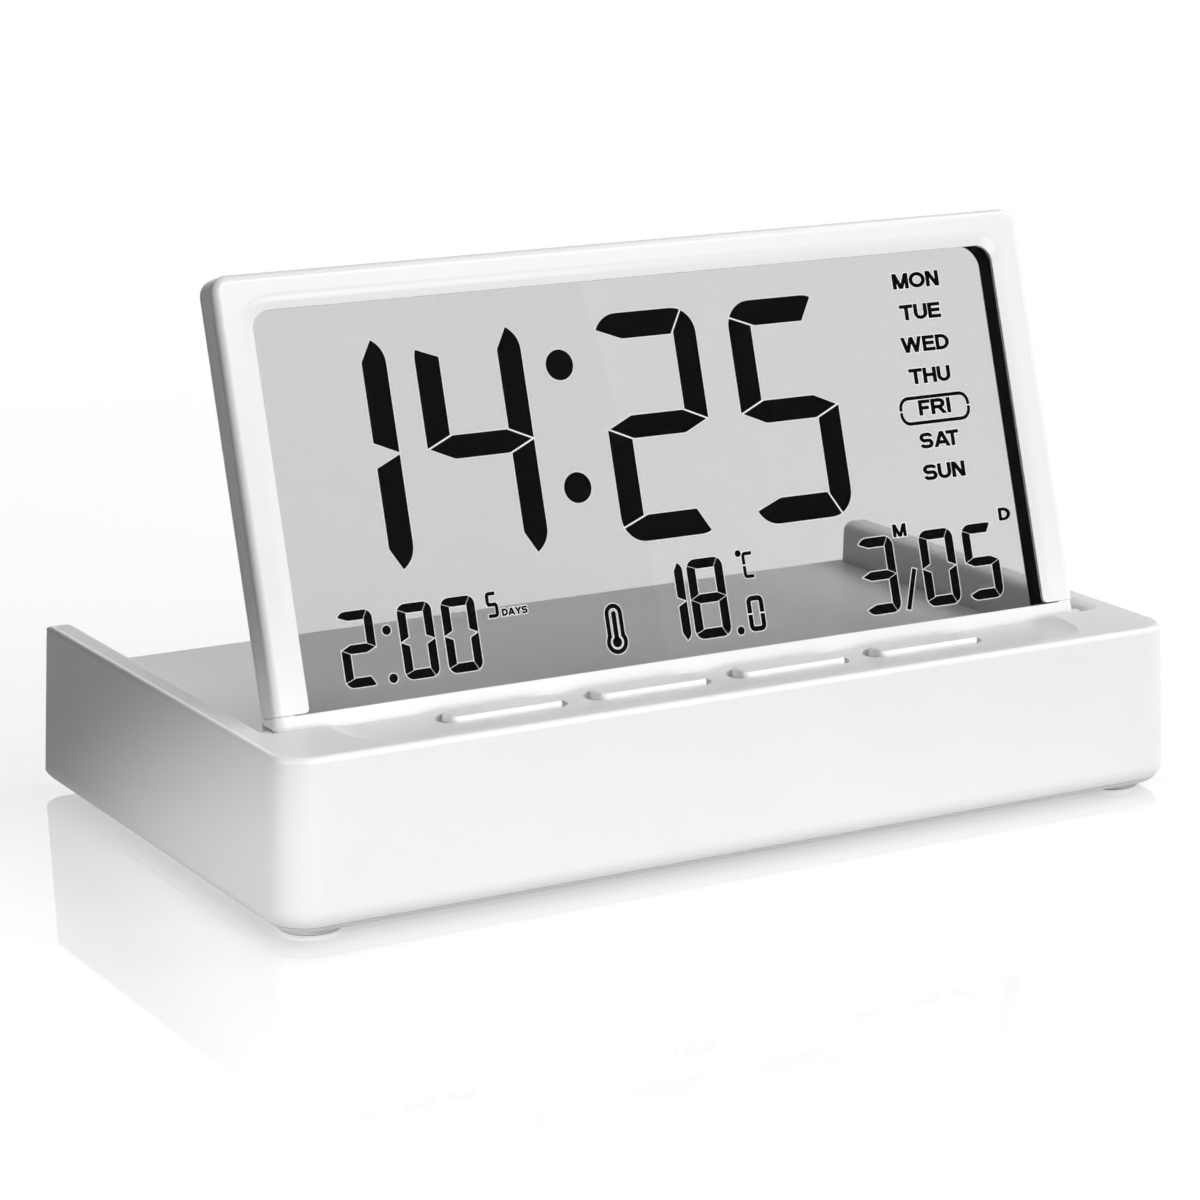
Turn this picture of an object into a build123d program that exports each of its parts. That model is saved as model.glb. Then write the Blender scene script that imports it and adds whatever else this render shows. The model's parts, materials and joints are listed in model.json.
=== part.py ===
from build123d import *
import os
from math import cos, radians, sin, sqrt, tan

os.makedirs("parts", exist_ok=True)

# Folding desk alarm clock with a see-through liquid crystal display, in millimetres.
# The origin is on the table under the middle of the case, +X to the right of a person
# reading the display, +Y to the back and +Z up. The display stands open and leans back.

# Case outline. Length and depth are those of the top edge, and the draft widens the base.
case_length = 164.0
case_depth = 93.8
draft_angle = 2.5
front_corner_radius = 7.0
rear_corner_radius = 2.0
bottom_edge_radius = 3.5
rear_bottom_radius = 4.5
rear_top_radius = 2.0
top_edge_radius = 1.0
case_wall = 2.4
roof_thickness = 2.0
seam_gap = 0.1
seam_height = 1.3

# Tray behind the display, into which the display folds down.
side_wall_width = 5.0
tray_depth = 7.8
tray_corner_radius = 1.5
tray_rim_radius = 2.0
tray_skin = 1.2
tray_rib_width = 1.2
tray_rib_depth = 1.8
tray_rib_spacing = 27.0
tray_rib_count = 5

# Deck in front of the display: a shallow scoop in which the buttons sit.
deck_depth = 16.6
scoop_depth = 1.1
scoop_radius = 50.0
scoop_from_side = 5.7
scoop_end_radius = 14.0
scoop_low_from_front = 13.0

# Buttons: long caps with rounded corners, loose in pill-shaped slots and sprung by switches.
button_count = 4
button_length = 19.4
button_depth = 4.8
button_height = 1.0
button_corner_radius = 1.2
button_edge_radius = 0.5
button_travel = 0.6
slot_end_gap = 1.6
slot_front_gap = 0.35
slot_rear_gap = 1.0
slot_to_tray = 1.3
flange_thickness = 1.0
flange_overlap = 1.2
flange_gap = 0.2
flange_spacing = 1.2
button_stem_radius = 1.6

# Display frame, measured up from the hinge axis along the leaning display.
lean_angle = 17.3
frame_thickness = 6.4
frame_side_gap = 2.2
fold_rear_gap = 1.95
frame_corner_radius = 2.7
frame_front_round = 1.3
frame_rear_round = 1.6
back_ring_thickness = 1.9
rail_height = 3.885
rail_end_rise = 0.15
rail_end_length = 3.2
leg_gap = 0.22
leg_inner_radius = 0.8
window_side_border = 5.95
window_top_border = 5.87
window_radius = 3.0
window_bevel_width = 1.8
window_bevel_depth = 0.5
bevel_blend_radius = 5.0
lip_thickness = 1.1
rear_window_relief = 1.3
liner_thickness = 0.6
liner_top_relief = 0.7
liner_radius = 4.5
liner_clearance = 0.05
frame_seam = 0.08

# Liquid crystal cell: two glass plates between two polarising films.
rear_lip = 0.7
polariser_thickness = 0.15
glass_thickness = 0.5
cell_margin = 2.3
cell_clearance = 0.2
rear_glass_step = 2.0
film_setback = 0.4

# Hinge: two steel pins fixed in the frame turn in the side walls of the tray.
barrel_front_gap = 0.35
barrel_floor_gap = 1.1
hinge_pin_radius = 1.5
hinge_pin_hold = 9.8
hinge_pin_reach = 2.8
pin_fit = 0.02
running_fit = 0.05
hinge_boss_radius = 3.0
washer_radius = 2.4
washer_side_gap = 0.1
pin_chamfer = 0.3

# Feet: soft discs glued into shallow seats.
foot_radius = 5.1
foot_drop = 0.9
foot_seat_depth = 0.7
foot_clearance = 0.1
foot_from_side = 8.3
foot_from_front = 8.5
foot_from_rear = 9.0
foot_edge_chamfer = 0.3

# Bottom cover and the screws that hold it.
cover_spigot_height = 0.8
cover_clearance = 0.25
case_screw_from_side = 20.5
case_screw_from_front = 9.9
case_screw_from_rear = 10.9
case_screw_radius = 1.3
case_screw_length = 10.0
case_screw_head_radius = 2.3
case_screw_head_height = 1.7
case_boss_radius = 3.0
cover_boss_radius = 4.0
cover_boss_height = 2.8
head_seat_thickness = 1.9
screw_clearance = 0.05
head_clearance = 0.3
screw_head_chamfer = 0.3
drive_recess_width = 0.6
drive_recess_length = 2.4
drive_recess_depth = 0.8
boss_seat_gap = 0.1

# Battery bay for two AAA cells (10.5 mm by 44.5 mm) side by side, and its sliding door.
cell_radius = 5.25
cell_length = 44.5
cell_edge_chamfer = 0.5
terminal_radius = 1.9
terminal_height = 0.8
cell_pitch = 10.8
cell_lift = 0.4
bay_from_rear = 21.9
bay_end_space = 3.35
bay_side_space = 0.45
bay_top_space = 0.3
bay_wall = 1.2
bay_headroom = 4.0
contact_thickness = 0.4
contact_width = 6.0
contact_gap = 0.1
contact_foot = 1.2
contact_bow_height = 7.2
tab_width = 4.0
tab_rise = 0.9
door_side_margin = 0.5
door_front_margin = 1.9
door_thickness = 1.2
door_clearance = 0.2
tongue_width = 1.5
tongue_thickness = 0.5
tongue_clearance = 0.1
grip_groove_count = 3
grip_groove_pitch = 2.4
grip_groove_depth = 0.4
grip_groove_width = 1.0
grip_groove_length = 18.0
grip_groove_inset = 7.6

# Circuit board under the deck, with its parts.
board_end_gap = 5.0
board_thickness = 1.2
board_drop = 2.0
board_front_gap = 1.0
board_width = 25.0
board_hole_radius = 1.2
board_boss_radius = 2.2
board_screw_radius = 1.0
board_screw_head_radius = 1.9
board_screw_head_height = 1.3
board_screw_length = 3.2
board_screw_side_inset = 8.0
board_screw_rear_inset = 4.5
board_screw_front_inset = 1.7
switch_size = 6.0
switch_height = 3.5
switch_bore_radius = 1.85
plunger_radius = 1.75
plunger_rise = 1.5
plunger_depth = 1.2
chip_radius = 7.0
chip_height = 1.6
chip_x = 8.0
crystal_radius = 1.0
crystal_length = 6.0
crystal_x = 22.0
buzzer_radius = 6.0
buzzer_height = 6.5
buzzer_port_radius = 1.0
buzzer_port_depth = 1.0
buzzer_inset = 16.0
sound_hole_radius = 0.7
sound_hole_circle = 3.2
sound_hole_count = 6
sensor_size = 2.4
sensor_inset = 6.0
connector_length = 19.0
connector_width = 3.0
connector_height = 3.0
connector_chamfer = 0.4
connector_slot_depth = 2.0
part_edge_chamfer = 0.4
board_part_inset = 11.0

# Wiring: a flat ribbon to the display and two wires from the battery contacts.
ribbon_width = 16.0
ribbon_thickness = 0.2
ribbon_slot_clearance = 0.15
ribbon_bend_radius = 1.4
ribbon_free_gap = 0.3
ribbon_start_behind = 0.85
wire_radius = 0.5
wire_bend_radius = 5.0
wire_swing = 2.5
wire_bow = 1.2

# Heights that follow from the sizes above: the battery bay sets the tray's height.
case_bottom = foot_drop
parting_z = case_bottom + seam_height
cell_z = parting_z + cell_lift + cell_radius
bay_top_z = cell_z + cell_radius + bay_top_space
bay_roof_z = bay_top_z + bay_wall
tray_underside_z = bay_roof_z + bay_headroom
tray_floor_z = tray_underside_z + roof_thickness
case_top = tray_floor_z + tray_depth
case_height = case_top - case_bottom
case_flare = case_height * tan(radians(draft_angle))
cover_inner_z = parting_z + cover_spigot_height
deck_low_z = case_top - scoop_depth
deck_underside_z = deck_low_z - roof_thickness
board_top_z = tray_underside_z - board_drop
board_underside_z = board_top_z - board_thickness

# Places along and across the case.
front_y = -case_depth / 2
rear_y = case_depth / 2
tray_front_y = front_y + deck_depth
tray_skin_y = tray_front_y - tray_skin
tray_half_width = case_length / 2 - side_wall_width
void_half_width = case_length / 2 - case_wall
void_front_y = front_y + case_wall
void_rear_y = rear_y - case_wall
board_front_y = void_front_y + board_front_gap
board_rear_y = board_front_y + board_width

# The display's hinge and outline. Folded down, it fills the tray.
barrel_radius = frame_thickness / 2
hinge_y = tray_front_y + barrel_front_gap + barrel_radius
hinge_z = tray_floor_z + barrel_floor_gap + barrel_radius
frame_width = 2 * (tray_half_width - frame_side_gap)
frame_height = rear_y - fold_rear_gap - hinge_y
window_width = frame_width - 2 * window_side_border
window_top = frame_height - window_top_border
liner_top = window_top + liner_top_relief


# Outer shape of the closed case. The housing, cover and battery door are cut from it.
rear_flare_y = rear_y + case_flare
with BuildPart() as envelope:
    with BuildSketch(Plane.XY.offset(case_bottom)) as base_outline:
        Rectangle(case_length + 2 * case_flare, case_depth + 2 * case_flare)
        fillet(base_outline.vertices().sort_by(Axis.Y)[:2], front_corner_radius)
    extrude(amount=case_height, taper=draft_angle)
    rear_edges = envelope.faces().sort_by(Axis.Y)[-1].edges()
    low_rim = envelope.faces().sort_by(Axis.Z)[0].edges() - rear_edges
    high_rim = envelope.faces().sort_by(Axis.Z)[-1].edges() - rear_edges
    fillet(low_rim, bottom_edge_radius)
    fillet(high_rim, top_edge_radius)
    with BuildSketch(Plane.YZ) as side_outline:
        with BuildLine():
            Polyline(
                (front_y - case_depth, case_bottom),
                (rear_flare_y, case_bottom),
                (rear_y, case_top),
                (front_y - case_depth, case_top),
                close=True,
            )
        make_face()
        low_corner = side_outline.vertices().sort_by(Axis.Y)[:2].sort_by(Axis.X)[-1]
        fillet(low_corner, rear_bottom_radius)
        high_corner = side_outline.vertices().sort_by(Axis.Y)[-2:].sort_by(Axis.X)[-1]
        fillet(high_corner, rear_top_radius)
    extrude(amount=case_length, both=True, mode=Mode.INTERSECT)
    with BuildSketch(Plane.XY.offset(case_bottom)) as corner_outline:
        Rectangle(case_length + 2 * case_flare, case_depth + 2 * case_flare)
        fillet(corner_outline.vertices().sort_by(Axis.Y)[-2:], rear_corner_radius)
    extrude(amount=case_height, taper=draft_angle, mode=Mode.INTERSECT)


# Places of the buttons and their slots, from the tray's front wall forwards.
slot_length = button_length + 2 * slot_end_gap
slot_depth = button_depth + slot_front_gap + slot_rear_gap
slot_y = tray_front_y - slot_to_tray - slot_depth / 2
button_pitch = slot_length + 2 * flange_overlap + flange_spacing
button_y = slot_y - slot_depth / 2 + slot_front_gap + button_depth / 2
button_top_z = deck_low_z + button_height
flange_top_z = deck_underside_z - flange_gap
flange_bottom_z = flange_top_z - flange_thickness
button_places = GridLocations(button_pitch, 1, button_count, 1).local_locations
button_xs = [place.position.X for place in button_places]

# Places of the screws.
case_screw_x = case_length / 2 - case_screw_from_side
case_screw_ys = (front_y + case_screw_from_front, rear_y - case_screw_from_rear)
case_screw_points = [(x, y) for y in case_screw_ys for x in (-case_screw_x, case_screw_x)]
board_half_length = case_screw_x - case_boss_radius - board_end_gap
board_screw_x = board_half_length - board_screw_side_inset
board_screw_rear_y = board_rear_y - board_screw_rear_inset
board_screw_front_y = board_front_y + board_screw_front_inset
board_rear_points = [(x, board_screw_rear_y) for x in (-board_screw_x, board_screw_x)]
board_front_points = [(x, board_screw_front_y) for x in (-button_pitch, button_pitch)]

# Places of the battery bay.
bay_half_length = cell_length / 2 + bay_end_space
bay_half_width = cell_pitch / 2 + cell_radius + bay_side_space
bay_center_y = rear_y - bay_from_rear
bay_front_y = bay_center_y - bay_half_width
cell_front_y = bay_center_y - cell_pitch / 2
cell_rear_y = bay_center_y + cell_pitch / 2
tab_top_z = bay_roof_z + tab_rise

# Where the display's ribbon goes through the tray's front wall.
barrel_bottom_z = hinge_z - barrel_radius
ribbon_z = barrel_bottom_z - ribbon_free_gap - ribbon_thickness / 2


# The trough that is scooped out of the deck, running out softly at both ends.
scoop_y = front_y + scoop_low_from_front
scoop_front = scoop_y - sqrt(scoop_radius**2 - (scoop_radius - scoop_depth) ** 2)
scoop_back = tray_front_y + tray_rim_radius
scoop_back_z = deck_low_z + scoop_radius - sqrt(scoop_radius**2 - (scoop_back - scoop_y) ** 2)
scoop_above = case_top + case_height
with BuildPart() as scoop:
    with BuildSketch(Plane.YZ):
        with BuildLine():
            ThreePointArc(
                (scoop_front, case_top), (scoop_y, deck_low_z), (scoop_back, scoop_back_z)
            )
            Polyline(
                (scoop_back, scoop_back_z),
                (scoop_back, scoop_above),
                (scoop_front, scoop_above),
                (scoop_front, case_top),
            )
        make_face()
    extrude(amount=case_length / 2 - scoop_from_side, both=True)
    trough = scoop.faces().filter_by(GeomType.CYLINDER)[0]
    scoop_ends = trough.edges().filter_by(GeomType.CIRCLE)
    fillet(scoop_ends, scoop_end_radius)


# Housing: deck, tray and outer walls in one moulding, open underneath.
with BuildPart() as base_housing:
    add(envelope.part)
    split(bisect_by=Plane.XY.offset(parting_z + seam_gap), keep=Keep.TOP)

    # The tray, open at the rear, with a soft rim.
    with BuildSketch(Plane.XY.offset(tray_floor_z)) as tray_outline:
        with Locations((0, tray_front_y)):
            Rectangle(2 * tray_half_width, 2 * case_depth, align=(Align.CENTER, Align.MIN))
        fillet(tray_outline.vertices().sort_by(Axis.Y)[:2], tray_corner_radius)
    extrude(amount=case_height, mode=Mode.SUBTRACT)
    top_face = base_housing.faces().filter_by(Axis.Z).sort_by(Axis.Z)[-1]
    inner_edges = top_face.edges().filter_by_position(
        Axis.X, -tray_half_width - seam_gap, tray_half_width + seam_gap
    )
    tray_rim = inner_edges.filter_by_position(
        Axis.Y, tray_front_y - seam_gap, rear_y - rear_top_radius - seam_gap
    )
    fillet(tray_rim, tray_rim_radius)

    # The scoop in the deck.
    add(scoop.part, mode=Mode.SUBTRACT)

    # Hollow underside: below the tray, below the deck and up inside the side walls.
    with BuildSketch(Plane.XY.offset(case_bottom)) as void_outline:
        with Locations((0, (void_front_y + void_rear_y) / 2)):
            Rectangle(2 * void_half_width, void_rear_y - void_front_y)
        fillet(void_outline.vertices().sort_by(Axis.Y)[:2], front_corner_radius - case_wall)
    extrude(amount=tray_underside_z - case_bottom, mode=Mode.SUBTRACT)
    with BuildSketch(Plane.XY.offset(tray_underside_z)) as deck_void:
        with Locations((0, (void_front_y + tray_skin_y) / 2)):
            Rectangle(2 * void_half_width, tray_skin_y - void_front_y)
        fillet(deck_void.vertices().sort_by(Axis.Y)[:2], front_corner_radius - case_wall)
    extrude(amount=deck_underside_z - tray_underside_z, mode=Mode.SUBTRACT)
    wall_void_width = void_half_width - tray_half_width - tray_skin
    wall_void_x = void_half_width - wall_void_width / 2
    with BuildSketch(Plane.XY.offset(tray_underside_z)):
        with Locations((0, (tray_skin_y + void_rear_y) / 2)):
            with GridLocations(2 * wall_void_x, 1, 2, 1):
                Rectangle(wall_void_width, void_rear_y - tray_skin_y)
    extrude(amount=deck_underside_z - tray_underside_z, mode=Mode.SUBTRACT)

    # Bosses in the side walls, in which the hinge pins turn.
    boss_span = wall_void_width + tray_skin
    for side in (-1, 1):
        boss_plane = Plane(
            origin=(side * tray_half_width, hinge_y, hinge_z), x_dir=(0, 1, 0), z_dir=(side, 0, 0)
        )
        with BuildSketch(boss_plane.offset(tray_skin / 2)):
            Circle(hinge_boss_radius)
        extrude(amount=boss_span - tray_skin / 2)
        with BuildSketch(boss_plane):
            Circle(hinge_pin_radius + running_fit)
        extrude(amount=hinge_pin_reach + running_fit, mode=Mode.SUBTRACT)

    # Screw bosses down to the bottom cover, with blind pilot holes.
    boss_foot_z = parting_z + cover_boss_height + boss_seat_gap
    for points, roof_z in (
        (case_screw_points[:2], deck_underside_z),
        (case_screw_points[2:], tray_underside_z),
    ):
        with BuildSketch(Plane.XY.offset(boss_foot_z)):
            with Locations(*points):
                Circle(case_boss_radius)
        extrude(amount=roof_z - boss_foot_z)
    with BuildSketch(Plane.XY.offset(boss_foot_z)):
        with Locations(*case_screw_points):
            Circle(case_screw_radius + screw_clearance)
    extrude(amount=case_screw_length, mode=Mode.SUBTRACT)

    # Short bosses that hold the circuit board up under the deck and tray.
    for points, roof_z in (
        (board_front_points, deck_underside_z),
        (board_rear_points, tray_underside_z),
    ):
        with BuildSketch(Plane.XY.offset(board_top_z)):
            with Locations(*points):
                Circle(board_boss_radius)
        extrude(amount=roof_z - board_top_z)
    with BuildSketch(Plane.XY.offset(board_top_z)):
        with Locations(*board_front_points, *board_rear_points):
            Circle(board_screw_radius + screw_clearance)
    extrude(amount=board_screw_length, mode=Mode.SUBTRACT)

    # Ribs that stiffen the tray floor.
    rib_front_y = board_rear_y + tray_rib_spacing / 4
    with BuildSketch(Plane.XY.offset(tray_underside_z - tray_rib_depth)):
        with Locations((0, (rib_front_y + void_rear_y) / 2)):
            with GridLocations(tray_rib_spacing, 1, tray_rib_count, 1):
                Rectangle(tray_rib_width, void_rear_y - rib_front_y)
    extrude(amount=tray_rib_depth)

    # Slots for the buttons, and the slit for the display's ribbon.
    with BuildSketch(Plane.XY.offset(deck_underside_z)):
        with Locations(*[(x, slot_y) for x in button_xs]):
            SlotOverall(slot_length, slot_depth)
    extrude(amount=case_height, mode=Mode.SUBTRACT)
    with BuildSketch(Plane.XZ.offset(-tray_front_y)):
        with Locations((0, ribbon_z)):
            Rectangle(
                ribbon_width + 2 * ribbon_slot_clearance,
                ribbon_thickness + 2 * ribbon_slot_clearance,
            )
    extrude(amount=tray_skin, both=True, mode=Mode.SUBTRACT)
base_housing.part.label = "base_housing"
export_step(base_housing.part, "parts/base_housing.step")


# Bottom cover: closes the case, seats the feet and screws, and holds the battery bay.
foot_half_x = case_length / 2 + case_flare - foot_from_side
foot_front_y = front_y - case_flare + foot_from_front
foot_rear_y = rear_y + case_flare - foot_from_rear
foot_points = {
    "front_left": (-foot_half_x, foot_front_y),
    "front_right": (foot_half_x, foot_front_y),
    "rear_left": (-foot_half_x, foot_rear_y),
    "rear_right": (foot_half_x, foot_rear_y),
}
door_front_y = bay_front_y - door_front_margin
door_half_width = bay_half_length + door_side_margin
groove_half_width = door_half_width + tongue_width + tongue_clearance
buzzer_x = buzzer_inset - board_half_length
buzzer_y = board_rear_y - board_part_inset
with BuildPart() as bottom_cover:
    add(envelope.part)
    split(bisect_by=Plane.XY.offset(parting_z), keep=Keep.BOTTOM)

    # The spigot that locates the cover inside the housing walls.
    with BuildSketch(Plane.XY.offset(parting_z)) as spigot:
        with Locations((0, (void_front_y + void_rear_y) / 2)):
            Rectangle(
                2 * (void_half_width - cover_clearance),
                void_rear_y - void_front_y - 2 * cover_clearance,
            )
        fillet(
            spigot.vertices().sort_by(Axis.Y)[:2],
            front_corner_radius - case_wall - cover_clearance,
        )
    extrude(amount=cover_spigot_height)

    # Walls and roof of the battery bay, and the bay itself.
    with BuildSketch(Plane.XY.offset(parting_z)) as bay_outside:
        with Locations((0, bay_center_y)):
            Rectangle(2 * (bay_half_length + bay_wall), 2 * (bay_half_width + bay_wall))
        fillet(bay_outside.vertices(), bay_wall)
    extrude(amount=bay_roof_z - parting_z)
    with BuildSketch(Plane.XY.offset(case_bottom)):
        with Locations((0, bay_center_y)):
            Rectangle(2 * bay_half_length, 2 * bay_half_width)
    extrude(amount=bay_top_z - case_bottom, mode=Mode.SUBTRACT)

    # Slots in the bay's roof for the two contact tabs.
    tab_x = bay_half_length - contact_gap - contact_thickness / 2
    with BuildSketch(Plane.XY.offset(bay_top_z)):
        with Locations((tab_x, cell_front_y), (tab_x, cell_rear_y)):
            Rectangle(contact_thickness + 2 * contact_gap, tab_width + 2 * contact_gap)
    extrude(amount=bay_wall, mode=Mode.SUBTRACT)

    # The door's recess, open to the rear, with a groove along each side.
    with BuildSketch(Plane.XY.offset(case_bottom)):
        with Locations((0, door_front_y - door_clearance)):
            Rectangle(
                2 * (door_half_width + door_clearance),
                case_depth,
                align=(Align.CENTER, Align.MIN),
            )
    extrude(amount=seam_height, mode=Mode.SUBTRACT)
    groove_z = case_bottom + door_thickness - tongue_thickness - tongue_clearance
    with BuildSketch(Plane.XY.offset(groove_z)):
        with Locations((0, door_front_y - door_clearance)):
            Rectangle(2 * groove_half_width, case_depth, align=(Align.CENTER, Align.MIN))
    extrude(amount=parting_z - groove_z, mode=Mode.SUBTRACT)

    # Screw bosses, counterbored from below.
    with BuildSketch(Plane.XY.offset(parting_z)):
        with Locations(*case_screw_points):
            Circle(cover_boss_radius)
    extrude(amount=cover_boss_height)
    head_seat_z = parting_z + cover_boss_height - head_seat_thickness
    with BuildSketch(Plane.XY.offset(case_bottom)):
        with Locations(*case_screw_points):
            Circle(case_screw_head_radius + head_clearance)
    extrude(amount=head_seat_z - case_bottom, mode=Mode.SUBTRACT)
    with BuildSketch(Plane.XY.offset(head_seat_z)):
        with Locations(*case_screw_points):
            Circle(case_screw_radius + head_clearance)
    extrude(amount=head_seat_thickness, mode=Mode.SUBTRACT)

    # Seats for the feet, and the sound holes under the buzzer.
    with BuildSketch(Plane.XY.offset(case_bottom)):
        with Locations(*foot_points.values()):
            Circle(foot_radius + foot_clearance)
    extrude(amount=foot_seat_depth, mode=Mode.SUBTRACT)
    with BuildSketch(Plane.XY.offset(case_bottom)):
        with Locations((buzzer_x, buzzer_y)):
            Circle(sound_hole_radius)
            with PolarLocations(sound_hole_circle, sound_hole_count):
                Circle(sound_hole_radius)
    extrude(amount=cover_inner_z - case_bottom, mode=Mode.SUBTRACT)
bottom_cover.part.label = "bottom_cover"
export_step(bottom_cover.part, "parts/bottom_cover.step")


# Battery door: slides out to the rear on a tongue along each side.
with BuildPart() as battery_door:
    add(envelope.part)
    split(bisect_by=Plane.XY.offset(case_bottom + door_thickness), keep=Keep.BOTTOM)
    with BuildSketch(Plane.XY.offset(case_bottom)):
        with Locations((0, door_front_y)):
            Rectangle(2 * door_half_width, case_depth, align=(Align.CENTER, Align.MIN))
    extrude(amount=door_thickness, mode=Mode.INTERSECT)
    tongue_end_y = rear_y - rear_bottom_radius
    with BuildSketch(Plane.XY.offset(case_bottom + door_thickness - tongue_thickness)):
        with Locations((0, door_front_y)):
            Rectangle(
                2 * (door_half_width + tongue_width),
                tongue_end_y - door_front_y,
                align=(Align.CENTER, Align.MIN),
            )
    extrude(amount=tongue_thickness)
    # Grooves that give the thumb a grip.
    grip_y = rear_y - grip_groove_inset
    with BuildSketch(Plane.XY.offset(case_bottom)):
        with Locations((0, grip_y)):
            with GridLocations(1, grip_groove_pitch, 1, grip_groove_count):
                SlotOverall(grip_groove_length, grip_groove_width)
    extrude(amount=grip_groove_depth, mode=Mode.SUBTRACT)
battery_door.part.label = "battery_door"
export_step(battery_door.part, "parts/battery_door.step")


# Four soft feet, one under each corner.
for corner, (x, y) in foot_points.items():
    with BuildPart() as foot:
        with BuildSketch():
            with Locations((x, y)):
                Circle(foot_radius)
        extrude(amount=foot_drop + foot_seat_depth)
        chamfer(foot.faces().sort_by(Axis.Z)[0].edges(), foot_edge_chamfer)
    foot.part.label = f"foot_{corner}"
    export_step(foot.part, f"parts/foot_{corner}.step")


# Case screws: pan heads in the counterbores, shanks up into the housing's bosses.
case_screw_foot_z = head_seat_z - case_screw_head_height
with BuildPart() as case_screws:
    with BuildSketch(Plane.XY.offset(case_screw_foot_z)):
        with Locations(*case_screw_points):
            Circle(case_screw_head_radius)
    extrude(amount=case_screw_head_height)
    chamfer(case_screws.edges().group_by(Axis.Z)[0], screw_head_chamfer)
    with BuildSketch(Plane.XY.offset(head_seat_z)):
        with Locations(*case_screw_points):
            Circle(case_screw_radius)
    extrude(amount=case_screw_length)
    with BuildSketch(Plane.XY.offset(case_screw_foot_z)):
        with Locations(*case_screw_points):
            Rectangle(drive_recess_length, drive_recess_width)
            Rectangle(drive_recess_width, drive_recess_length)
    extrude(amount=drive_recess_depth, mode=Mode.SUBTRACT)
case_screws.part.label = "case_screws"
export_step(case_screws.part, "parts/case_screws.step")


# Circuit board with holes for its four screws.
board_y = (board_front_y + board_rear_y) / 2
with BuildPart() as main_circuit_board:
    with BuildSketch(Plane.XY.offset(board_underside_z)):
        with Locations((0, board_y)):
            Rectangle(2 * board_half_length, board_width)
        with Locations(*board_front_points, *board_rear_points):
            Circle(board_hole_radius, mode=Mode.SUBTRACT)
    extrude(amount=board_thickness)
main_circuit_board.part.label = "main_circuit_board"
export_step(main_circuit_board.part, "parts/main_circuit_board.step")

with BuildPart() as board_screws:
    with BuildSketch(Plane.XY.offset(board_underside_z - board_screw_head_height)):
        with Locations(*board_front_points, *board_rear_points):
            Circle(board_screw_head_radius)
    extrude(amount=board_screw_head_height)
    with BuildSketch(Plane.XY.offset(board_underside_z)):
        with Locations(*board_front_points, *board_rear_points):
            Circle(board_screw_radius)
    extrude(amount=board_screw_length)
    with BuildSketch(Plane.XY.offset(board_underside_z - board_screw_head_height)):
        with Locations(*board_front_points, *board_rear_points):
            Rectangle(drive_recess_length, drive_recess_width)
            Rectangle(drive_recess_width, drive_recess_length)
    extrude(amount=drive_recess_depth, mode=Mode.SUBTRACT)
board_screws.part.label = "board_screws"
export_step(board_screws.part, "parts/board_screws.step")


# Four buttons, each a cap over the plunger of a push switch on the board.
plunger_top_z = board_top_z + switch_height + plunger_rise
for number, x in enumerate(button_xs, start=1):
    with BuildPart() as cap:
        with BuildSketch(Plane.XY.offset(flange_top_z)):
            with Locations((x, button_y)):
                RectangleRounded(button_length, button_depth, button_corner_radius)
        extrude(amount=button_top_z - flange_top_z)
        fillet(cap.faces().sort_by(Axis.Z)[-1].edges(), button_edge_radius)
        flange_front_y = slot_y - slot_depth / 2 - flange_overlap
        flange_rear_y = tray_skin_y - flange_gap
        with BuildSketch(Plane.XY.offset(flange_bottom_z)) as flange:
            with Locations((x, flange_front_y)):
                Rectangle(
                    slot_length + 2 * flange_overlap,
                    flange_rear_y - flange_front_y,
                    align=(Align.CENTER, Align.MIN),
                )
            fillet(flange.vertices(), button_edge_radius)
        extrude(amount=flange_thickness)
        with BuildSketch(Plane.XY.offset(plunger_top_z)):
            with Locations((x, button_y)):
                Circle(button_stem_radius)
        extrude(amount=flange_bottom_z - plunger_top_z)
    cap.part.label = f"button_cap_{number}"
    export_step(cap.part, f"parts/button_cap_{number}.step")

    with BuildPart() as plunger:
        with BuildSketch(Plane.XY.offset(plunger_top_z - plunger_rise - plunger_depth)):
            with Locations((x, button_y)):
                Circle(plunger_radius)
        extrude(amount=plunger_rise + plunger_depth)
    plunger.part.label = f"switch_plunger_{number}"
    export_step(plunger.part, f"parts/switch_plunger_{number}.step")

    with BuildPart() as switch:
        with BuildSketch(Plane.XY.offset(board_top_z)):
            with Locations((x, button_y)):
                RectangleRounded(switch_size, switch_size, button_edge_radius)
        extrude(amount=switch_height)
        bore_depth = plunger_depth + button_travel + running_fit
        with BuildSketch(Plane.XY.offset(board_top_z + switch_height - bore_depth)):
            with Locations((x, button_y)):
                Circle(switch_bore_radius)
        extrude(amount=bore_depth, mode=Mode.SUBTRACT)
    switch.part.label = f"push_switch_{number}"
    export_step(switch.part, f"parts/push_switch_{number}.step")


# Parts on the underside of the board.
board_part_y = board_rear_y - board_part_inset
with BuildPart() as clock_chip:
    chip_sphere_radius = (chip_radius**2 + chip_height**2) / (2 * chip_height)
    with BuildSketch(Plane.XZ.offset(-board_part_y)):
        with BuildLine():
            Line((chip_x, board_underside_z), (chip_x + chip_radius, board_underside_z))
            RadiusArc(
                (chip_x + chip_radius, board_underside_z),
                (chip_x, board_underside_z - chip_height),
                chip_sphere_radius,
            )
            Line((chip_x, board_underside_z - chip_height), (chip_x, board_underside_z))
        make_face()
    revolve(axis=Axis((chip_x, board_part_y, 0), (0, 0, 1)))
clock_chip.part.label = "clock_chip"
export_step(clock_chip.part, "parts/clock_chip.step")

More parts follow.
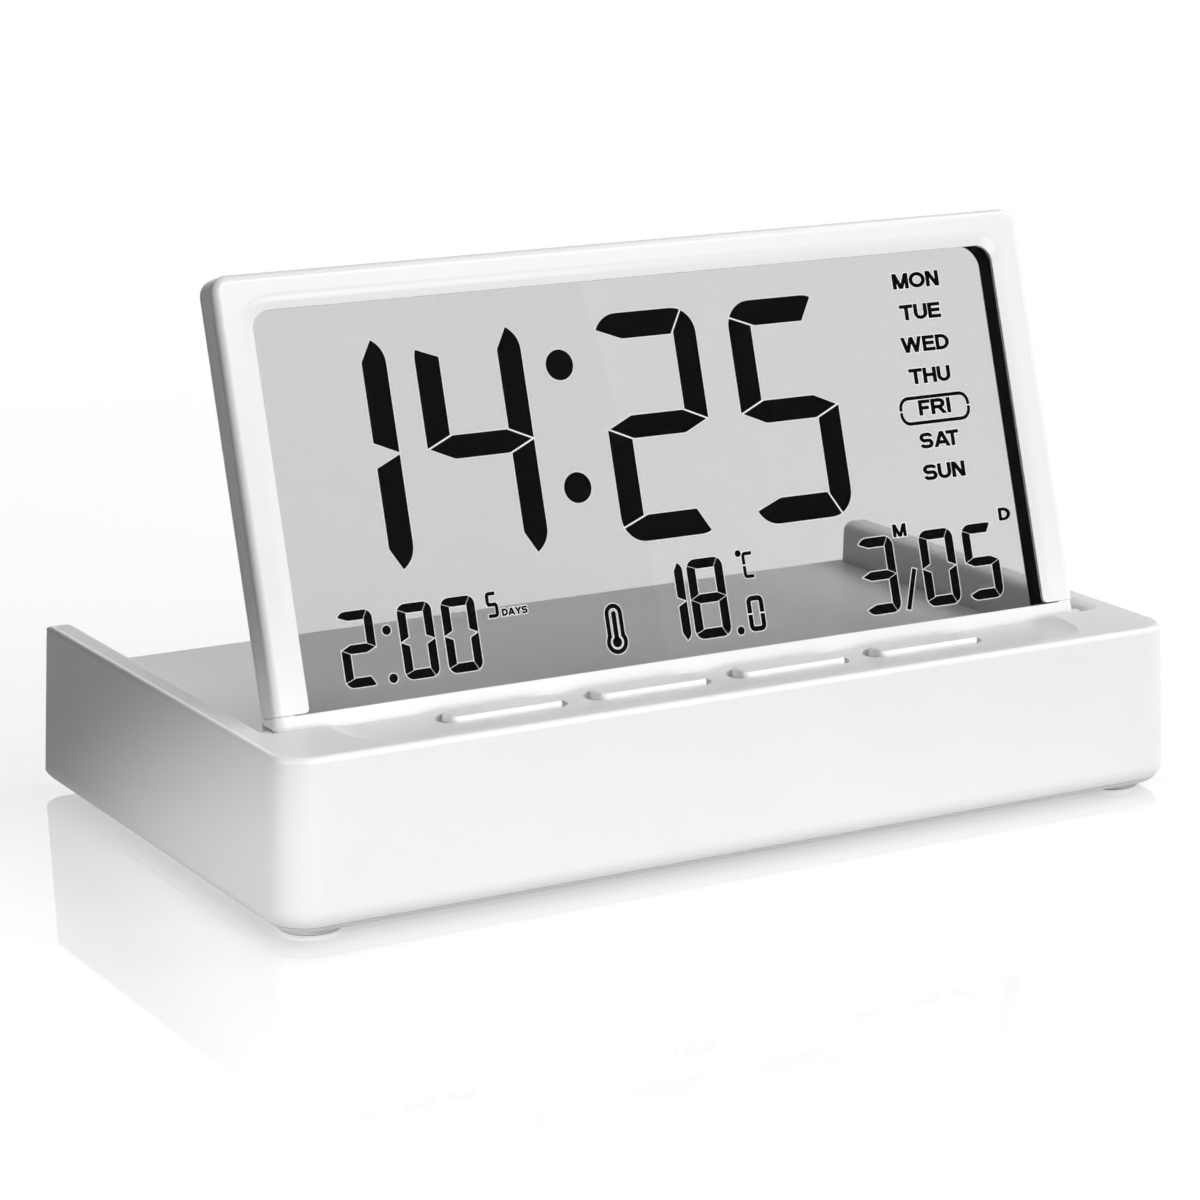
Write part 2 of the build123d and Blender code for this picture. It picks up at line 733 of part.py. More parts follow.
with BuildPart() as quartz_crystal:
    with BuildSketch(Plane.YZ.offset(crystal_x)):
        with Locations((board_part_y, board_underside_z - crystal_radius)):
            Circle(crystal_radius)
    extrude(amount=crystal_length)
    chamfer(quartz_crystal.edges().filter_by(GeomType.CIRCLE), part_edge_chamfer)
quartz_crystal.part.label = "quartz_crystal"
export_step(quartz_crystal.part, "parts/quartz_crystal.step")

with BuildPart() as buzzer:
    with BuildSketch(Plane.XY.offset(board_underside_z - buzzer_height)):
        with Locations((buzzer_x, buzzer_y)):
            Circle(buzzer_radius)
    extrude(amount=buzzer_height)
    chamfer(buzzer.faces().sort_by(Axis.Z)[0].edges(), part_edge_chamfer)
    with BuildSketch(Plane.XY.offset(board_underside_z - buzzer_height)):
        with Locations((buzzer_x, buzzer_y)):
            Circle(buzzer_port_radius)
    extrude(amount=buzzer_port_depth, mode=Mode.SUBTRACT)
buzzer.part.label = "buzzer"
export_step(buzzer.part, "parts/buzzer.step")

sensor_x = board_half_length - sensor_inset
with BuildPart() as temperature_sensor:
    with BuildSketch(Plane.XY.offset(board_underside_z - sensor_size / 2)):
        with Locations((sensor_x, board_part_y)):
            Rectangle(sensor_size, sensor_size)
    extrude(amount=sensor_size / 2)
temperature_sensor.part.label = "temperature_sensor"
export_step(temperature_sensor.part, "parts/temperature_sensor.step")


# Battery cells, pointing opposite ways, each with the raised pin of its plus end.
for place, y, plus_side in (("front", cell_front_y, 1), ("rear", cell_rear_y, -1)):
    with BuildPart() as cell:
        can_length = cell_length - terminal_height
        minus_end = -plus_side * cell_length / 2
        cell_plane = Plane(
            origin=(minus_end, y, cell_z), x_dir=(0, 1, 0), z_dir=(plus_side, 0, 0)
        )
        with BuildSketch(cell_plane):
            Circle(cell_radius)
        extrude(amount=can_length)
        chamfer(cell.edges().filter_by(GeomType.CIRCLE), cell_edge_chamfer)
        with BuildSketch(cell_plane.offset(can_length)):
            Circle(terminal_radius)
        extrude(amount=terminal_height)
    cell.part.label = f"battery_cell_{place}"
    export_step(cell.part, f"parts/battery_cell_{place}.step")


# Contacts: a strip at each cell's end with a bow that presses on it. The two at the right
# have solder tabs through the bay's roof, and the bridge at the left joins the two cells.
bow_half = contact_bow_height / 2
bow_hollow = bow_half - contact_thickness
contacts = {
    "battery_contact_positive": (1, [cell_front_y]),
    "battery_contact_negative": (1, [cell_rear_y]),
    "battery_bridge": (-1, [cell_front_y, cell_rear_y]),
}
for name, (side, strip_ys) in contacts.items():
    wall_x = side * (bay_half_length - contact_gap)
    face_x = wall_x - side * contact_thickness
    tip_x = side * (cell_length / 2 + contact_gap)
    with BuildPart() as contact:
        for y in strip_ys:
            with BuildSketch(Plane.XZ.offset(-y)):
                with BuildLine():
                    ThreePointArc(
                        (face_x, cell_z + bow_half), (tip_x, cell_z), (face_x, cell_z - bow_half)
                    )
                    Polyline(
                        (face_x, cell_z - bow_half),
                        (face_x, cell_z - bow_half - contact_foot),
                        (wall_x, cell_z - bow_half - contact_foot),
                        (wall_x, cell_z + bow_half),
                        (face_x, cell_z + bow_half),
                    )
                make_face()
                with BuildLine():
                    ThreePointArc(
                        (face_x, cell_z + bow_hollow),
                        (tip_x + side * contact_thickness, cell_z),
                        (face_x, cell_z - bow_hollow),
                    )
                    Line((face_x, cell_z - bow_hollow), (face_x, cell_z + bow_hollow))
                make_face(mode=Mode.SUBTRACT)
            extrude(amount=contact_width / 2, both=True)
        if side > 0:
            with BuildSketch(Plane.XY.offset(cell_z + bow_half)):
                with Locations((tab_x, strip_ys[0])):
                    Rectangle(contact_thickness, tab_width)
            extrude(amount=tab_top_z - cell_z - bow_half)
        else:
            with BuildSketch(Plane.XY.offset(cell_z - bow_half - contact_foot)):
                with Locations((-tab_x, bay_center_y)):
                    Rectangle(contact_thickness, cell_pitch)
            extrude(amount=contact_foot)
    contact.part.label = name
    export_step(contact.part, f"parts/{name}.step")


# Wires from the two contact tabs, lying on the bay's roof and then forward to the rear
# edge of the circuit board.
wire_x = tab_x - contact_thickness / 2 - wire_radius - contact_gap
wire_tab_z = bay_roof_z + wire_radius + contact_gap
wire_board_z = board_underside_z + board_thickness / 2
wires = {
    "battery_wire_positive": (cell_front_y, wire_x - wire_swing, wire_bow),
    "battery_wire_negative": (cell_rear_y, wire_x - 2 * wire_swing, -wire_bow),
}
for name, (tab_y, end_x, bow) in wires.items():
    straight_y = tab_y - tab_width
    route = [
        (wire_x, tab_y + tab_width / 4, wire_tab_z),
        (wire_x, straight_y, wire_tab_z),
        (end_x + bow, (2 * straight_y + board_rear_y) / 3, wire_tab_z),
        (end_x, (straight_y + 3 * board_rear_y) / 4, wire_board_z),
        (end_x, board_rear_y, wire_board_z),
    ]
    with BuildPart() as wire:
        with BuildLine() as wire_path:
            FilletPolyline(*route, radius=wire_bend_radius)
        with BuildSketch(Plane(origin=wire_path.line @ 0, z_dir=wire_path.line % 0)):
            Circle(wire_radius)
        sweep()
    wire.part.label = name
    export_step(wire.part, f"parts/{name}.step")


# Upright socket on the board for the display's ribbon, and the ribbon's fixed half, which
# comes in through the slit in the tray's front wall and turns down into the socket.
socket_top_z = board_top_z + connector_height
with BuildPart() as ribbon_socket:
    with BuildSketch(Plane.XY.offset(board_top_z)):
        with Locations((0, button_y)):
            Rectangle(connector_length, connector_width)
    extrude(amount=connector_height)
    chamfer(ribbon_socket.faces().sort_by(Axis.Z)[-1].edges(), connector_chamfer)
    with BuildSketch(Plane.XY.offset(socket_top_z)):
        with Locations((0, button_y)):
            Rectangle(
                ribbon_width + 2 * ribbon_slot_clearance,
                ribbon_thickness + 2 * ribbon_slot_clearance,
            )
    extrude(amount=-connector_slot_depth, mode=Mode.SUBTRACT)
ribbon_socket.part.label = "ribbon_socket"
export_step(ribbon_socket.part, "parts/ribbon_socket.step")

ribbon_end_z = socket_top_z - connector_slot_depth + ribbon_slot_clearance
with BuildPart() as ribbon_fixed:
    with BuildLine() as ribbon_path:
        FilletPolyline(
            (0, hinge_y - ribbon_start_behind, ribbon_z),
            (0, button_y, ribbon_z),
            (0, button_y, ribbon_end_z),
            radius=ribbon_bend_radius,
        )
    with BuildSketch(Plane.XZ.offset(ribbon_start_behind - hinge_y)):
        with Locations((0, ribbon_z)):
            Rectangle(ribbon_width, ribbon_thickness)
    sweep()
ribbon_fixed.part.label = "ribbon_fixed"
export_step(ribbon_fixed.part, "parts/ribbon_fixed.step")


# The display leans back about the hinge. Its sketches use this plane: x to the right,
# y up along the display, z out of its front, with the hinge axis at the origin.
lean = radians(lean_angle)
display_plane = Plane(
    origin=(0, hinge_y, hinge_z), x_dir=(1, 0, 0), z_dir=(0, -cos(lean), sin(lean))
)
display_side = Plane(
    origin=display_plane.origin, x_dir=display_plane.y_dir, z_dir=display_plane.x_dir
)
display_section = Plane(
    origin=display_plane.origin, x_dir=display_plane.x_dir, z_dir=-display_plane.y_dir
)
towards_front = Axis(display_plane.origin, display_plane.z_dir)
towards_top = Axis(display_plane.origin, display_plane.y_dir)
front_z = frame_thickness / 2
ring_z = -front_z + back_ring_thickness
lcd_back_z = -front_z + rear_lip
glass_back_z = lcd_back_z + polariser_thickness
glass_middle_z = glass_back_z + glass_thickness
glass_front_z = glass_middle_z + glass_thickness
lcd_front_z = glass_front_z + polariser_thickness
pocket_front_z = lcd_front_z + liner_clearance
pocket_back_z = lcd_back_z - liner_clearance
lcd_half_width = window_width / 2 + cell_margin
lcd_top = window_top + cell_margin
pocket_half_width = lcd_half_width + cell_clearance
pocket_top = lcd_top + cell_clearance
lcd_bottom = rail_height - cell_margin
pocket_bottom = lcd_bottom - cell_clearance
rear_glass_bottom = lcd_bottom + rear_glass_step
leg_bottom = rail_height + leg_gap


# Front frame: a glossy U round the window's sides and top, bevelled towards the window.
with BuildPart() as frame_front:
    with BuildSketch(display_plane.offset(ring_z + frame_seam)) as front_outline:
        with Locations((0, leg_bottom)):
            Rectangle(frame_width, frame_height - leg_bottom, align=(Align.CENTER, Align.MIN))
        fillet(front_outline.vertices().sort_by(Axis.Y)[-2:], frame_corner_radius)
    extrude(amount=front_z - ring_z - frame_seam)
    front_rim = frame_front.faces().sort_by(towards_front)[-1].edges().sort_by(towards_top)
    fillet(front_rim[1:], frame_front_round)
    with BuildSketch(display_plane.offset(ring_z)) as window_outline:
        Rectangle(window_width, window_top, align=(Align.CENTER, Align.MIN))
        fillet(window_outline.vertices().sort_by(Axis.Y)[-2:], window_radius)
    extrude(amount=frame_thickness, mode=Mode.SUBTRACT)
    front_face = frame_front.faces().sort_by(towards_front)[-1]
    window_edges = front_face.edges().filter_by_position(
        Axis.X, -window_width / 2 - seam_gap, window_width / 2 + seam_gap
    )
    window_loop = window_edges.sort_by(towards_top)[:-1]
    chamfer(
        window_loop,
        length=window_bevel_width,
        length2=window_bevel_depth,
        reference=front_face,
    )
    beveled_face = frame_front.faces().sort_by(towards_front)[-1]
    bevel_half_width = window_width / 2 + window_bevel_width + seam_gap
    bevel_edges = beveled_face.edges().filter_by_position(
        Axis.X, -bevel_half_width, bevel_half_width
    )
    fillet(bevel_edges.sort_by(towards_top)[:-1], bevel_blend_radius)
    leg_corners = frame_front.edges().filter_by(towards_front).group_by(towards_top)[0]
    fillet(leg_corners.sort_by(Axis.X)[1:3], leg_inner_radius)
    # Room behind the bevel for the liner and for the edge of the glass.
    with BuildSketch(display_plane.offset(ring_z)) as liner_outline:
        Rectangle(
            window_width + 2 * liner_thickness,
            liner_top + liner_thickness,
            align=(Align.CENTER, Align.MIN),
        )
        fillet(liner_outline.vertices().sort_by(Axis.Y)[-2:], liner_radius + liner_thickness)
    extrude(amount=front_z - lip_thickness - ring_z, mode=Mode.SUBTRACT)
    with BuildSketch(display_plane.offset(ring_z)):
        Rectangle(2 * pocket_half_width, pocket_top, align=(Align.CENTER, Align.MIN))
    extrude(amount=pocket_front_z - ring_z, mode=Mode.SUBTRACT)
frame_front.part.label = "frame_front"
export_step(frame_front.part, "parts/frame_front.step")


# Rail along the display's lower edge: its front is flush with the front frame, and its
# underside is the round barrel of the hinge. The rear frame is built on it.
with BuildPart() as rail:
    with BuildSketch(display_side):
        Rectangle(rail_height, frame_thickness, align=(Align.MIN, Align.CENTER))
        Circle(barrel_radius)
    extrude(amount=frame_width / 2, both=True)
    with BuildSketch(display_plane.offset(ring_z)):
        with Locations((0, rail_height)):
            with GridLocations(frame_width - rail_end_length, 1, 2, 1):
                Rectangle(rail_end_length, rail_end_rise, align=(Align.CENTER, Align.MIN))
    extrude(amount=front_z - ring_z)
    with BuildSketch(display_section.offset(-rail_height)) as section:
        Rectangle(frame_width, frame_thickness)
        fillet(section.vertices().group_by(Axis.Y)[0], frame_front_round)
        fillet(section.vertices().group_by(Axis.Y)[-1], frame_rear_round)
    extrude(amount=frame_thickness + rail_height, both=True, mode=Mode.INTERSECT)


with BuildPart() as frame_rear:
    with BuildSketch(display_plane.offset(-front_z)) as ring_outline:
        Rectangle(frame_width, frame_height, align=(Align.CENTER, Align.MIN))
        fillet(ring_outline.vertices().sort_by(Axis.Y)[-2:], frame_corner_radius)
    extrude(amount=back_ring_thickness)
    back_rim = frame_rear.faces().sort_by(towards_front)[0].edges().sort_by(towards_top)
    fillet(back_rim[1:], frame_rear_round)
    add(rail.part)
    with BuildSketch(display_plane.offset(-front_z)) as rear_window:
        with Locations((0, rail_height)):
            Rectangle(
                window_width + 2 * rear_window_relief,
                window_top + rear_window_relief - rail_height,
                align=(Align.CENTER, Align.MIN),
            )
        fillet(rear_window.vertices().sort_by(Axis.Y)[-2:], window_radius)
    extrude(amount=back_ring_thickness, mode=Mode.SUBTRACT)
    # Pocket for the glass, which stands in a slot in the rail.
    with BuildSketch(display_plane.offset(pocket_back_z)):
        with Locations((0, pocket_bottom)):
            Rectangle(
                2 * pocket_half_width, pocket_top - pocket_bottom, align=(Align.CENTER, Align.MIN)
            )
    extrude(amount=pocket_front_z - pocket_back_z, mode=Mode.SUBTRACT)
    # Slot through the barrel for the ribbon, and holes for the hinge pins.
    with BuildSketch(display_plane.offset(glass_middle_z + ribbon_slot_clearance)):
        with Locations((0, -barrel_radius)):
            Rectangle(
                ribbon_width + 2 * ribbon_slot_clearance,
                barrel_radius + pocket_bottom,
                align=(Align.CENTER, Align.MIN),
            )
    extrude(amount=-ribbon_thickness - 2 * ribbon_slot_clearance, mode=Mode.SUBTRACT)
    for side in (-1, 1):
        with BuildSketch(Plane.YZ.offset(side * frame_width / 2)):
            with Locations((hinge_y, hinge_z)):
                Circle(hinge_pin_radius + pin_fit)
        extrude(amount=-side * hinge_pin_hold, mode=Mode.SUBTRACT)
frame_rear.part.label = "frame_rear"
export_step(frame_rear.part, "parts/frame_rear.step")


# Black liner round the inside of the window, between the bevel and the glass.
with BuildPart() as window_liner:
    with BuildSketch(display_plane.offset(lcd_front_z)) as liner_ring:
        with Locations((0, leg_bottom)):
            Rectangle(
                window_width + 2 * liner_thickness - 2 * liner_clearance,
                liner_top + liner_thickness - liner_clearance - leg_bottom,
                align=(Align.CENTER, Align.MIN),
            )
        fillet(
            liner_ring.vertices().sort_by(Axis.Y)[-2:],
            liner_radius + liner_thickness - liner_clearance,
        )
    extrude(amount=front_z - lip_thickness - lcd_front_z)
    with BuildSketch(display_plane.offset(lcd_front_z)) as liner_window:
        Rectangle(window_width, liner_top, align=(Align.CENTER, Align.MIN))
        fillet(liner_window.vertices().sort_by(Axis.Y)[-2:], liner_radius)
    extrude(amount=frame_thickness, mode=Mode.SUBTRACT)
window_liner.part.label = "window_liner"
export_step(window_liner.part, "parts/window_liner.step")


# The liquid crystal cell. The front plate stands lower, as a ledge for the ribbon.
lcd_layers = {
    "front_polariser": (glass_front_z, polariser_thickness, lcd_bottom, film_setback),
    "lcd_front_glass": (glass_middle_z, glass_thickness, lcd_bottom, 0),
    "lcd_rear_glass": (glass_back_z, glass_thickness, rear_glass_bottom, 0),
    "rear_polariser": (lcd_back_z, polariser_thickness, rear_glass_bottom, film_setback),
}
for name, (back_z, thickness, bottom, setback) in lcd_layers.items():
    with BuildPart() as layer:
        with BuildSketch(display_plane.offset(back_z)):
            with Locations((0, bottom + setback)):
                Rectangle(
                    2 * (lcd_half_width - setback),
                    lcd_top - bottom - 2 * setback,
                    align=(Align.CENTER, Align.MIN),
                )
        extrude(amount=thickness)
    layer.part.label = name
    export_step(layer.part, f"parts/{name}.step")

# The ribbon's moving half, bonded to the ledge behind the front plate.
ribbon_exit = -sqrt(barrel_radius**2 - (glass_middle_z - ribbon_thickness) ** 2)
with BuildPart() as ribbon_moving:
    with BuildSketch(display_plane.offset(glass_middle_z - ribbon_thickness)):
        with Locations((0, ribbon_exit)):
            Rectangle(
                ribbon_width,
                rear_glass_bottom - ribbon_slot_clearance - ribbon_exit,
                align=(Align.CENTER, Align.MIN),
            )
    extrude(amount=ribbon_thickness)
ribbon_moving.part.label = "ribbon_moving"
export_step(ribbon_moving.part, "parts/ribbon_moving.step")


# Hinge pins fixed in the frame's barrel, and the washers that fill its side gaps.
pin_length = hinge_pin_hold + tray_half_width - frame_width / 2 + hinge_pin_reach - pin_fit
washer_length = tray_half_width - frame_width / 2 - 2 * washer_side_gap
for name, side in (("left", -1), ("right", 1)):
    with BuildPart() as pin:
        with BuildSketch(Plane.YZ.offset(side * (frame_width / 2 - hinge_pin_hold + pin_fit))):
            with Locations((hinge_y, hinge_z)):
                Circle(hinge_pin_radius)
        extrude(amount=side * pin_length)
        chamfer(pin.edges().filter_by(GeomType.CIRCLE), pin_chamfer)
    pin.part.label = f"hinge_pin_{name}"
    export_step(pin.part, f"parts/hinge_pin_{name}.step")

    with BuildPart() as washer:
        with BuildSketch(Plane.YZ.offset(side * (frame_width / 2 + washer_side_gap))):
            with Locations((hinge_y, hinge_z)):
                Circle(washer_radius)
                Circle(hinge_pin_radius + running_fit, mode=Mode.SUBTRACT)
        extrude(amount=side * washer_length)
    washer.part.label = f"hinge_washer_{name}"
    export_step(washer.part, f"parts/hinge_washer_{name}.step")
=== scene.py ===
import bmesh
import bpy
import json
from math import cos, hypot, radians, sin
from mathutils import Matrix, Vector


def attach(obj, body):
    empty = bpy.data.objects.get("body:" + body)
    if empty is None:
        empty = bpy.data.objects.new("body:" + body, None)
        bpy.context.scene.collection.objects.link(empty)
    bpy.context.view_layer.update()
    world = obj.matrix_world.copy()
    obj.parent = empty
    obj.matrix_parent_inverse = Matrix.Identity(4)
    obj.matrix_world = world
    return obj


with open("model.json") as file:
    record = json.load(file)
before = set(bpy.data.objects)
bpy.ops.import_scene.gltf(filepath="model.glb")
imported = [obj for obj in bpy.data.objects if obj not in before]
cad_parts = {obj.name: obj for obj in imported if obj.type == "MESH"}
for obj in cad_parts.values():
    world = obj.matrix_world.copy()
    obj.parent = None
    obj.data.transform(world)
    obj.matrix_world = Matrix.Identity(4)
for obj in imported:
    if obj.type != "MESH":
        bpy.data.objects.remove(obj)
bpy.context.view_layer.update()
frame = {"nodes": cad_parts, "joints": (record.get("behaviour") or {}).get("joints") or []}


# Camera: a long lens in front of the clock, a little to its left and looking slightly down.
# It stands where the photograph was taken from.
camera_data = bpy.data.cameras.new("camera")
camera_data.lens = 111.5
camera_data.sensor_width = 36.0
camera = bpy.data.objects.new("camera", camera_data)
bpy.context.scene.collection.objects.link(camera)
camera.location = (-0.3011, -0.5216, 0.1831)
camera.rotation_euler = (radians(75.97), 0.0, radians(-29.84))
bpy.context.scene.camera = camera
bpy.context.scene.view_settings.view_transform = "Standard"


# Table: a glossy white sheet under the clock. It mirrors the clock most where it stands, and
# the mirror image fades out over a hand's width. It looks white, but lights the clock from below
# only as a grey sheet would.
class Shade:
    """An output of a node in a material. Arithmetic on it adds Math nodes."""

    def __init__(self, tree, socket=None):
        self.tree = tree
        self.socket = socket

    def node(self, kind, values, output=0, **settings):
        """Adds a node: its settings first, then its sockets' values or links."""
        made = self.tree.nodes.new(kind)
        for name, value in settings.items():
            setattr(made, name, value)
        for key, value in values.items():
            if isinstance(value, Shade):
                self.tree.links.new(value.socket, made.inputs[key])
            else:
                made.inputs[key].default_value = value
        return Shade(self.tree, made.outputs[output] if made.outputs else None)

    def math(self, operation, *values):
        return self.node("ShaderNodeMath", dict(enumerate(values)), operation=operation)

    def __add__(self, other):
        return self.math("ADD", self, other)

    def __sub__(self, other):
        return self.math("SUBTRACT", self, other)

    def __rsub__(self, other):
        return self.math("SUBTRACT", other, self)

    def __mul__(self, other):
        return self.math("MULTIPLY", self, other)

    def __truediv__(self, other):
        return self.math("DIVIDE", self, other)

    def __rtruediv__(self, other):
        return self.math("DIVIDE", other, self)

    def __gt__(self, other):
        return self.math("GREATER_THAN", self, other)

    def __lt__(self, other):
        return self.math("LESS_THAN", self, other)

    __radd__ = __add__
    __rmul__ = __mul__

    def point(self):
        """The point on the piece, in metres."""
        return self.node("ShaderNodeTexCoord", {}, output="Object")

    def along(self, axis):
        """The part of this point along X, Y or Z."""
        return self.node("ShaderNodeSeparateXYZ", {0: self}, output=axis)

    def seen(self):
        """One for rays from the camera, mirrors and glass, and zero for soft light."""
        rays = [
            self.node("ShaderNodeLightPath", {}, output=f"Is {kind} Ray")
            for kind in ("Camera", "Glossy", "Transmission")
        ]
        return self.math("MAXIMUM", self.math("MAXIMUM", rays[0], rays[1]), rays[2])

    def fade(self, start, end):
        """Runs softly from zero where this value is start to one where it is end."""
        return self.node(
            "ShaderNodeMapRange",
            {"Value": self, "From Min": start, "From Max": end},
            interpolation_type="SMOOTHSTEP",
        )

    def spread(self, low, high):
        """Runs from low to high as this value runs from zero to one."""
        return self * (high - low) + low

    def blend(self, first, second):
        """Two colours mixed by this value. The Mix node takes them at its sockets 6 and 7."""
        return self.node("ShaderNodeMix", {0: self, 6: first, 7: second}, output=2, data_type="RGBA")


floor_size = 4.0
floor_color = (0.36, 0.36, 0.36, 1.0)
floor_lift = 0.77
mirror_strength = 0.36
mirror_blur = 0.03
case_half = (0.0825, 0.0475)

# How far from the case the mirror image has faded to a third, and where the sheet turns plain
# white.
mirror_reach = 0.05
white_from, white_to = 0.12, 0.38

floor_form = bmesh.new()
bmesh.ops.create_grid(floor_form, x_segments=2, y_segments=2, size=floor_size)
floor_mesh = bpy.data.meshes.new("floor")
floor_form.to_mesh(floor_mesh)
floor_form.free()
floor = bpy.data.objects.new("floor", floor_mesh)
bpy.context.scene.collection.objects.link(floor)

floor_material = bpy.data.materials.new("white table")
floor_material.use_nodes = True
floor_tree = floor_material.node_tree
floor_tree.nodes.clear()
ground = Shade(floor_tree)
table_point = ground.point()
beside = ground.math("MAXIMUM", ground.math("ABSOLUTE", table_point.along("X")) - case_half[0], 0.0)
before = ground.math("MAXIMUM", ground.math("ABSOLUTE", table_point.along("Y")) - case_half[1], 0.0)
away = ground.math("SQRT", beside * beside + before * before)
seen = ground.seen()
soft = ground.node("ShaderNodeBsdfDiffuse", {"Color": floor_color})
lift = ground.node("ShaderNodeEmission", {"Strength": floor_lift})
lifted = ground.node("ShaderNodeAddShader", {0: soft, 1: lift})
near = ground.node("ShaderNodeMixShader", {0: seen, 1: soft, 2: lifted})
white = ground.node("ShaderNodeEmission", {"Strength": 1.0})
far = away.fade(white_from, white_to) * seen
paper = ground.node("ShaderNodeMixShader", {0: far, 1: near, 2: white})
mirror = ground.node(
    "ShaderNodeBsdfAnisotropic", {"Color": (1.0, 1.0, 1.0, 1.0), "Roughness": mirror_blur}
)
camera_ray = ground.node("ShaderNodeLightPath", {}, output="Is Camera Ray")
sheen = ground.math("EXPONENT", away / -mirror_reach) * mirror_strength * camera_ray
table = ground.node("ShaderNodeMixShader", {0: sheen, 1: paper, 2: mirror})
ground.node("ShaderNodeOutputMaterial", {"Surface": table})
floor_mesh.materials.append(floor_material)


# Light: a white room that shows in mirrors and behind the clock, soft lamps in front, above, to
# the right and behind, and a spot low on the left that stands for light the table throws back.
# The spot points down past the clock, so only the rim of its beam fades along the left side.
room_gloss = 0.85

world = bpy.data.worlds.new("room")
bpy.context.scene.world = world
world.use_nodes = True
world.node_tree.nodes.clear()
room = Shade(world.node_tree)
backdrop = room.math(
    "MAXIMUM",
    room.node("ShaderNodeLightPath", {}, output="Is Camera Ray"),
    room.node("ShaderNodeLightPath", {}, output="Is Transmission Ray"),
)
mirrored = room.node("ShaderNodeLightPath", {}, output="Is Glossy Ray") * room_gloss
level = room.math("MAXIMUM", backdrop, mirrored)
screens = room.node("ShaderNodeBackground", {"Color": (1.0, 1.0, 1.0, 1.0), "Strength": level})
room.node("ShaderNodeOutputWorld", {"Surface": screens})


def lamp(name, place, aim, size, power):
    """A soft rectangular lamp that stands at a place and faces a point."""
    data = bpy.data.lights.new(name, "AREA")
    data.shape = "RECTANGLE"
    data.size, data.size_y = size
    data.energy = power
    made = bpy.data.objects.new(name, data)
    bpy.context.scene.collection.objects.link(made)
    made.location = place
    made.rotation_euler = (Vector(aim) - Vector(place)).to_track_quat("-Z", "Y").to_euler()


clock_middle = (0.0, 0.0, 0.03)
display_middle = (0.0, 0.0, 0.05)
lamp("key_lamp", place=(0.42, -1.12, 0.82), aim=clock_middle, size=(0.9, 0.4), power=10.6)
lamp("low_lamp", place=(0.25, -1.3, 0.2), aim=display_middle, size=(0.9, 0.35), power=6.5)
lamp("top_lamp", place=(0.1, 0.1, 1.2), aim=clock_middle, size=(1.0, 1.0), power=1.6)
lamp("rear_lamp", place=(0.05, 1.3, 0.6), aim=clock_middle, size=(0.5, 0.35), power=2.5)
lamp("right_lamp", place=(0.9, -0.1, 0.9), aim=clock_middle, size=(0.6, 0.6), power=5.0)

side_lamp_place = Vector((-0.75, -0.22, 0.18))
side_lamp_aim = Vector((-0.083, -0.18, -0.35))
side_data = bpy.data.lights.new("side_lamp", "SPOT")
side_data.energy = 12.2
side_data.spot_size = radians(60)
side_data.spot_blend = 0.2
side_data.shadow_soft_size = 0.008
side_lamp = bpy.data.objects.new("side_lamp", side_data)
bpy.context.scene.collection.objects.link(side_lamp)
side_lamp.location = side_lamp_place
side_lamp.rotation_euler = (side_lamp_aim - side_lamp_place).to_track_quat("-Z", "Y").to_euler()


# Case: housing, bottom cover and battery door are moulded in white plastic with a fine satin
# skin. The door carries grooves for the thumb, and four screws hold the cover.
def finish(name, paint, **constants):
    """A material: constants are set on the shader's sockets, and paint gives what varies."""
    material = bpy.data.materials.new(name)
    material.use_nodes = True
    tree = material.node_tree
    shader = tree.nodes["Principled BSDF"]
    for socket, value in constants.items():
        shader.inputs[socket.replace("_", " ")].default_value = value
    for socket, shade in paint(Shade(tree)).items():
        tree.links.new(shade.socket, shader.inputs[socket])
    return material


def dress(material, *names):
    """Gives CAD nodes a material."""
    for name in names:
        slots = frame["nodes"][name].data.materials
        slots.clear()
        slots.append(material)


def grey(level, warmth=0.0):
    """A nearly neutral colour. Warmth leans it to yellow: red rises, and blue falls by half more."""
    return (level * (1 + warmth), level, level * (1 - 1.5 * warmth), 1.0)


cloud_gloss = 0.10
grain_gloss = 0.06


def moulded(color, shaded, grain, grain_depth, gloss):
    """Moulded plastic: soft clouds of tone and a fine even grain, which both vary its gloss."""

    def paint(shade):
        point = shade.point()
        cloud = shade.node("ShaderNodeTexNoise", {"Vector": point, "Scale": 55.0, "Detail": 4.0})
        skin = shade.node("ShaderNodeTexNoise", {"Vector": point, "Scale": grain, "Detail": 2.0})
        bump = shade.node(
            "ShaderNodeBump", {"Height": skin, "Strength": 0.6, "Distance": grain_depth}, "Normal"
        )
        return {
            "Base Color": cloud.blend(shaded, color),
            "Roughness": (cloud - 0.5) * cloud_gloss + (skin - 0.5) * grain_gloss + gloss,
            "Normal": bump,
        }

    return paint


case_white = finish(
    "white case plastic",
    moulded(
        grey(0.845, -0.008), grey(0.81, -0.008), grain=3200.0, grain_depth=0.000012, gloss=0.40
    ),
    IOR=1.59,
)
dress(case_white, "base_housing", "bottom_cover", "battery_door")


# Feet: four soft discs of pale rubber that keep the clock from sliding. They are pressed from
# sheet and stuck into round seats in the bottom cover.
foot_rubber = finish(
    "pale rubber",
    moulded(grey(0.62, 0.01), grey(0.55, 0.01), grain=1500.0, grain_depth=0.00003, gloss=0.62),
)
dress(foot_rubber, *(f"foot_{end}_{side}" for end in ("front", "rear") for side in ("left", "right")))


# Buttons: four long caps of the case's plastic, moulded with a smoother skin. Their colour is paler
# than the case's: painted light that makes them look more brightly lit than the deck. They are loose
# in their slots, on the plungers of the switches below.
# Paler than the case's white: painted light on the caps.
button_white_painted_light = finish(
    "white button plastic with painted light",
    moulded(
        grey(0.955, -0.008), grey(0.94, -0.008), grain=2600.0, grain_depth=0.000006, gloss=0.30
    ),
    IOR=1.55,
)
dress(button_white_painted_light, *(f"button_cap_{number}" for number in range(1, 5)))


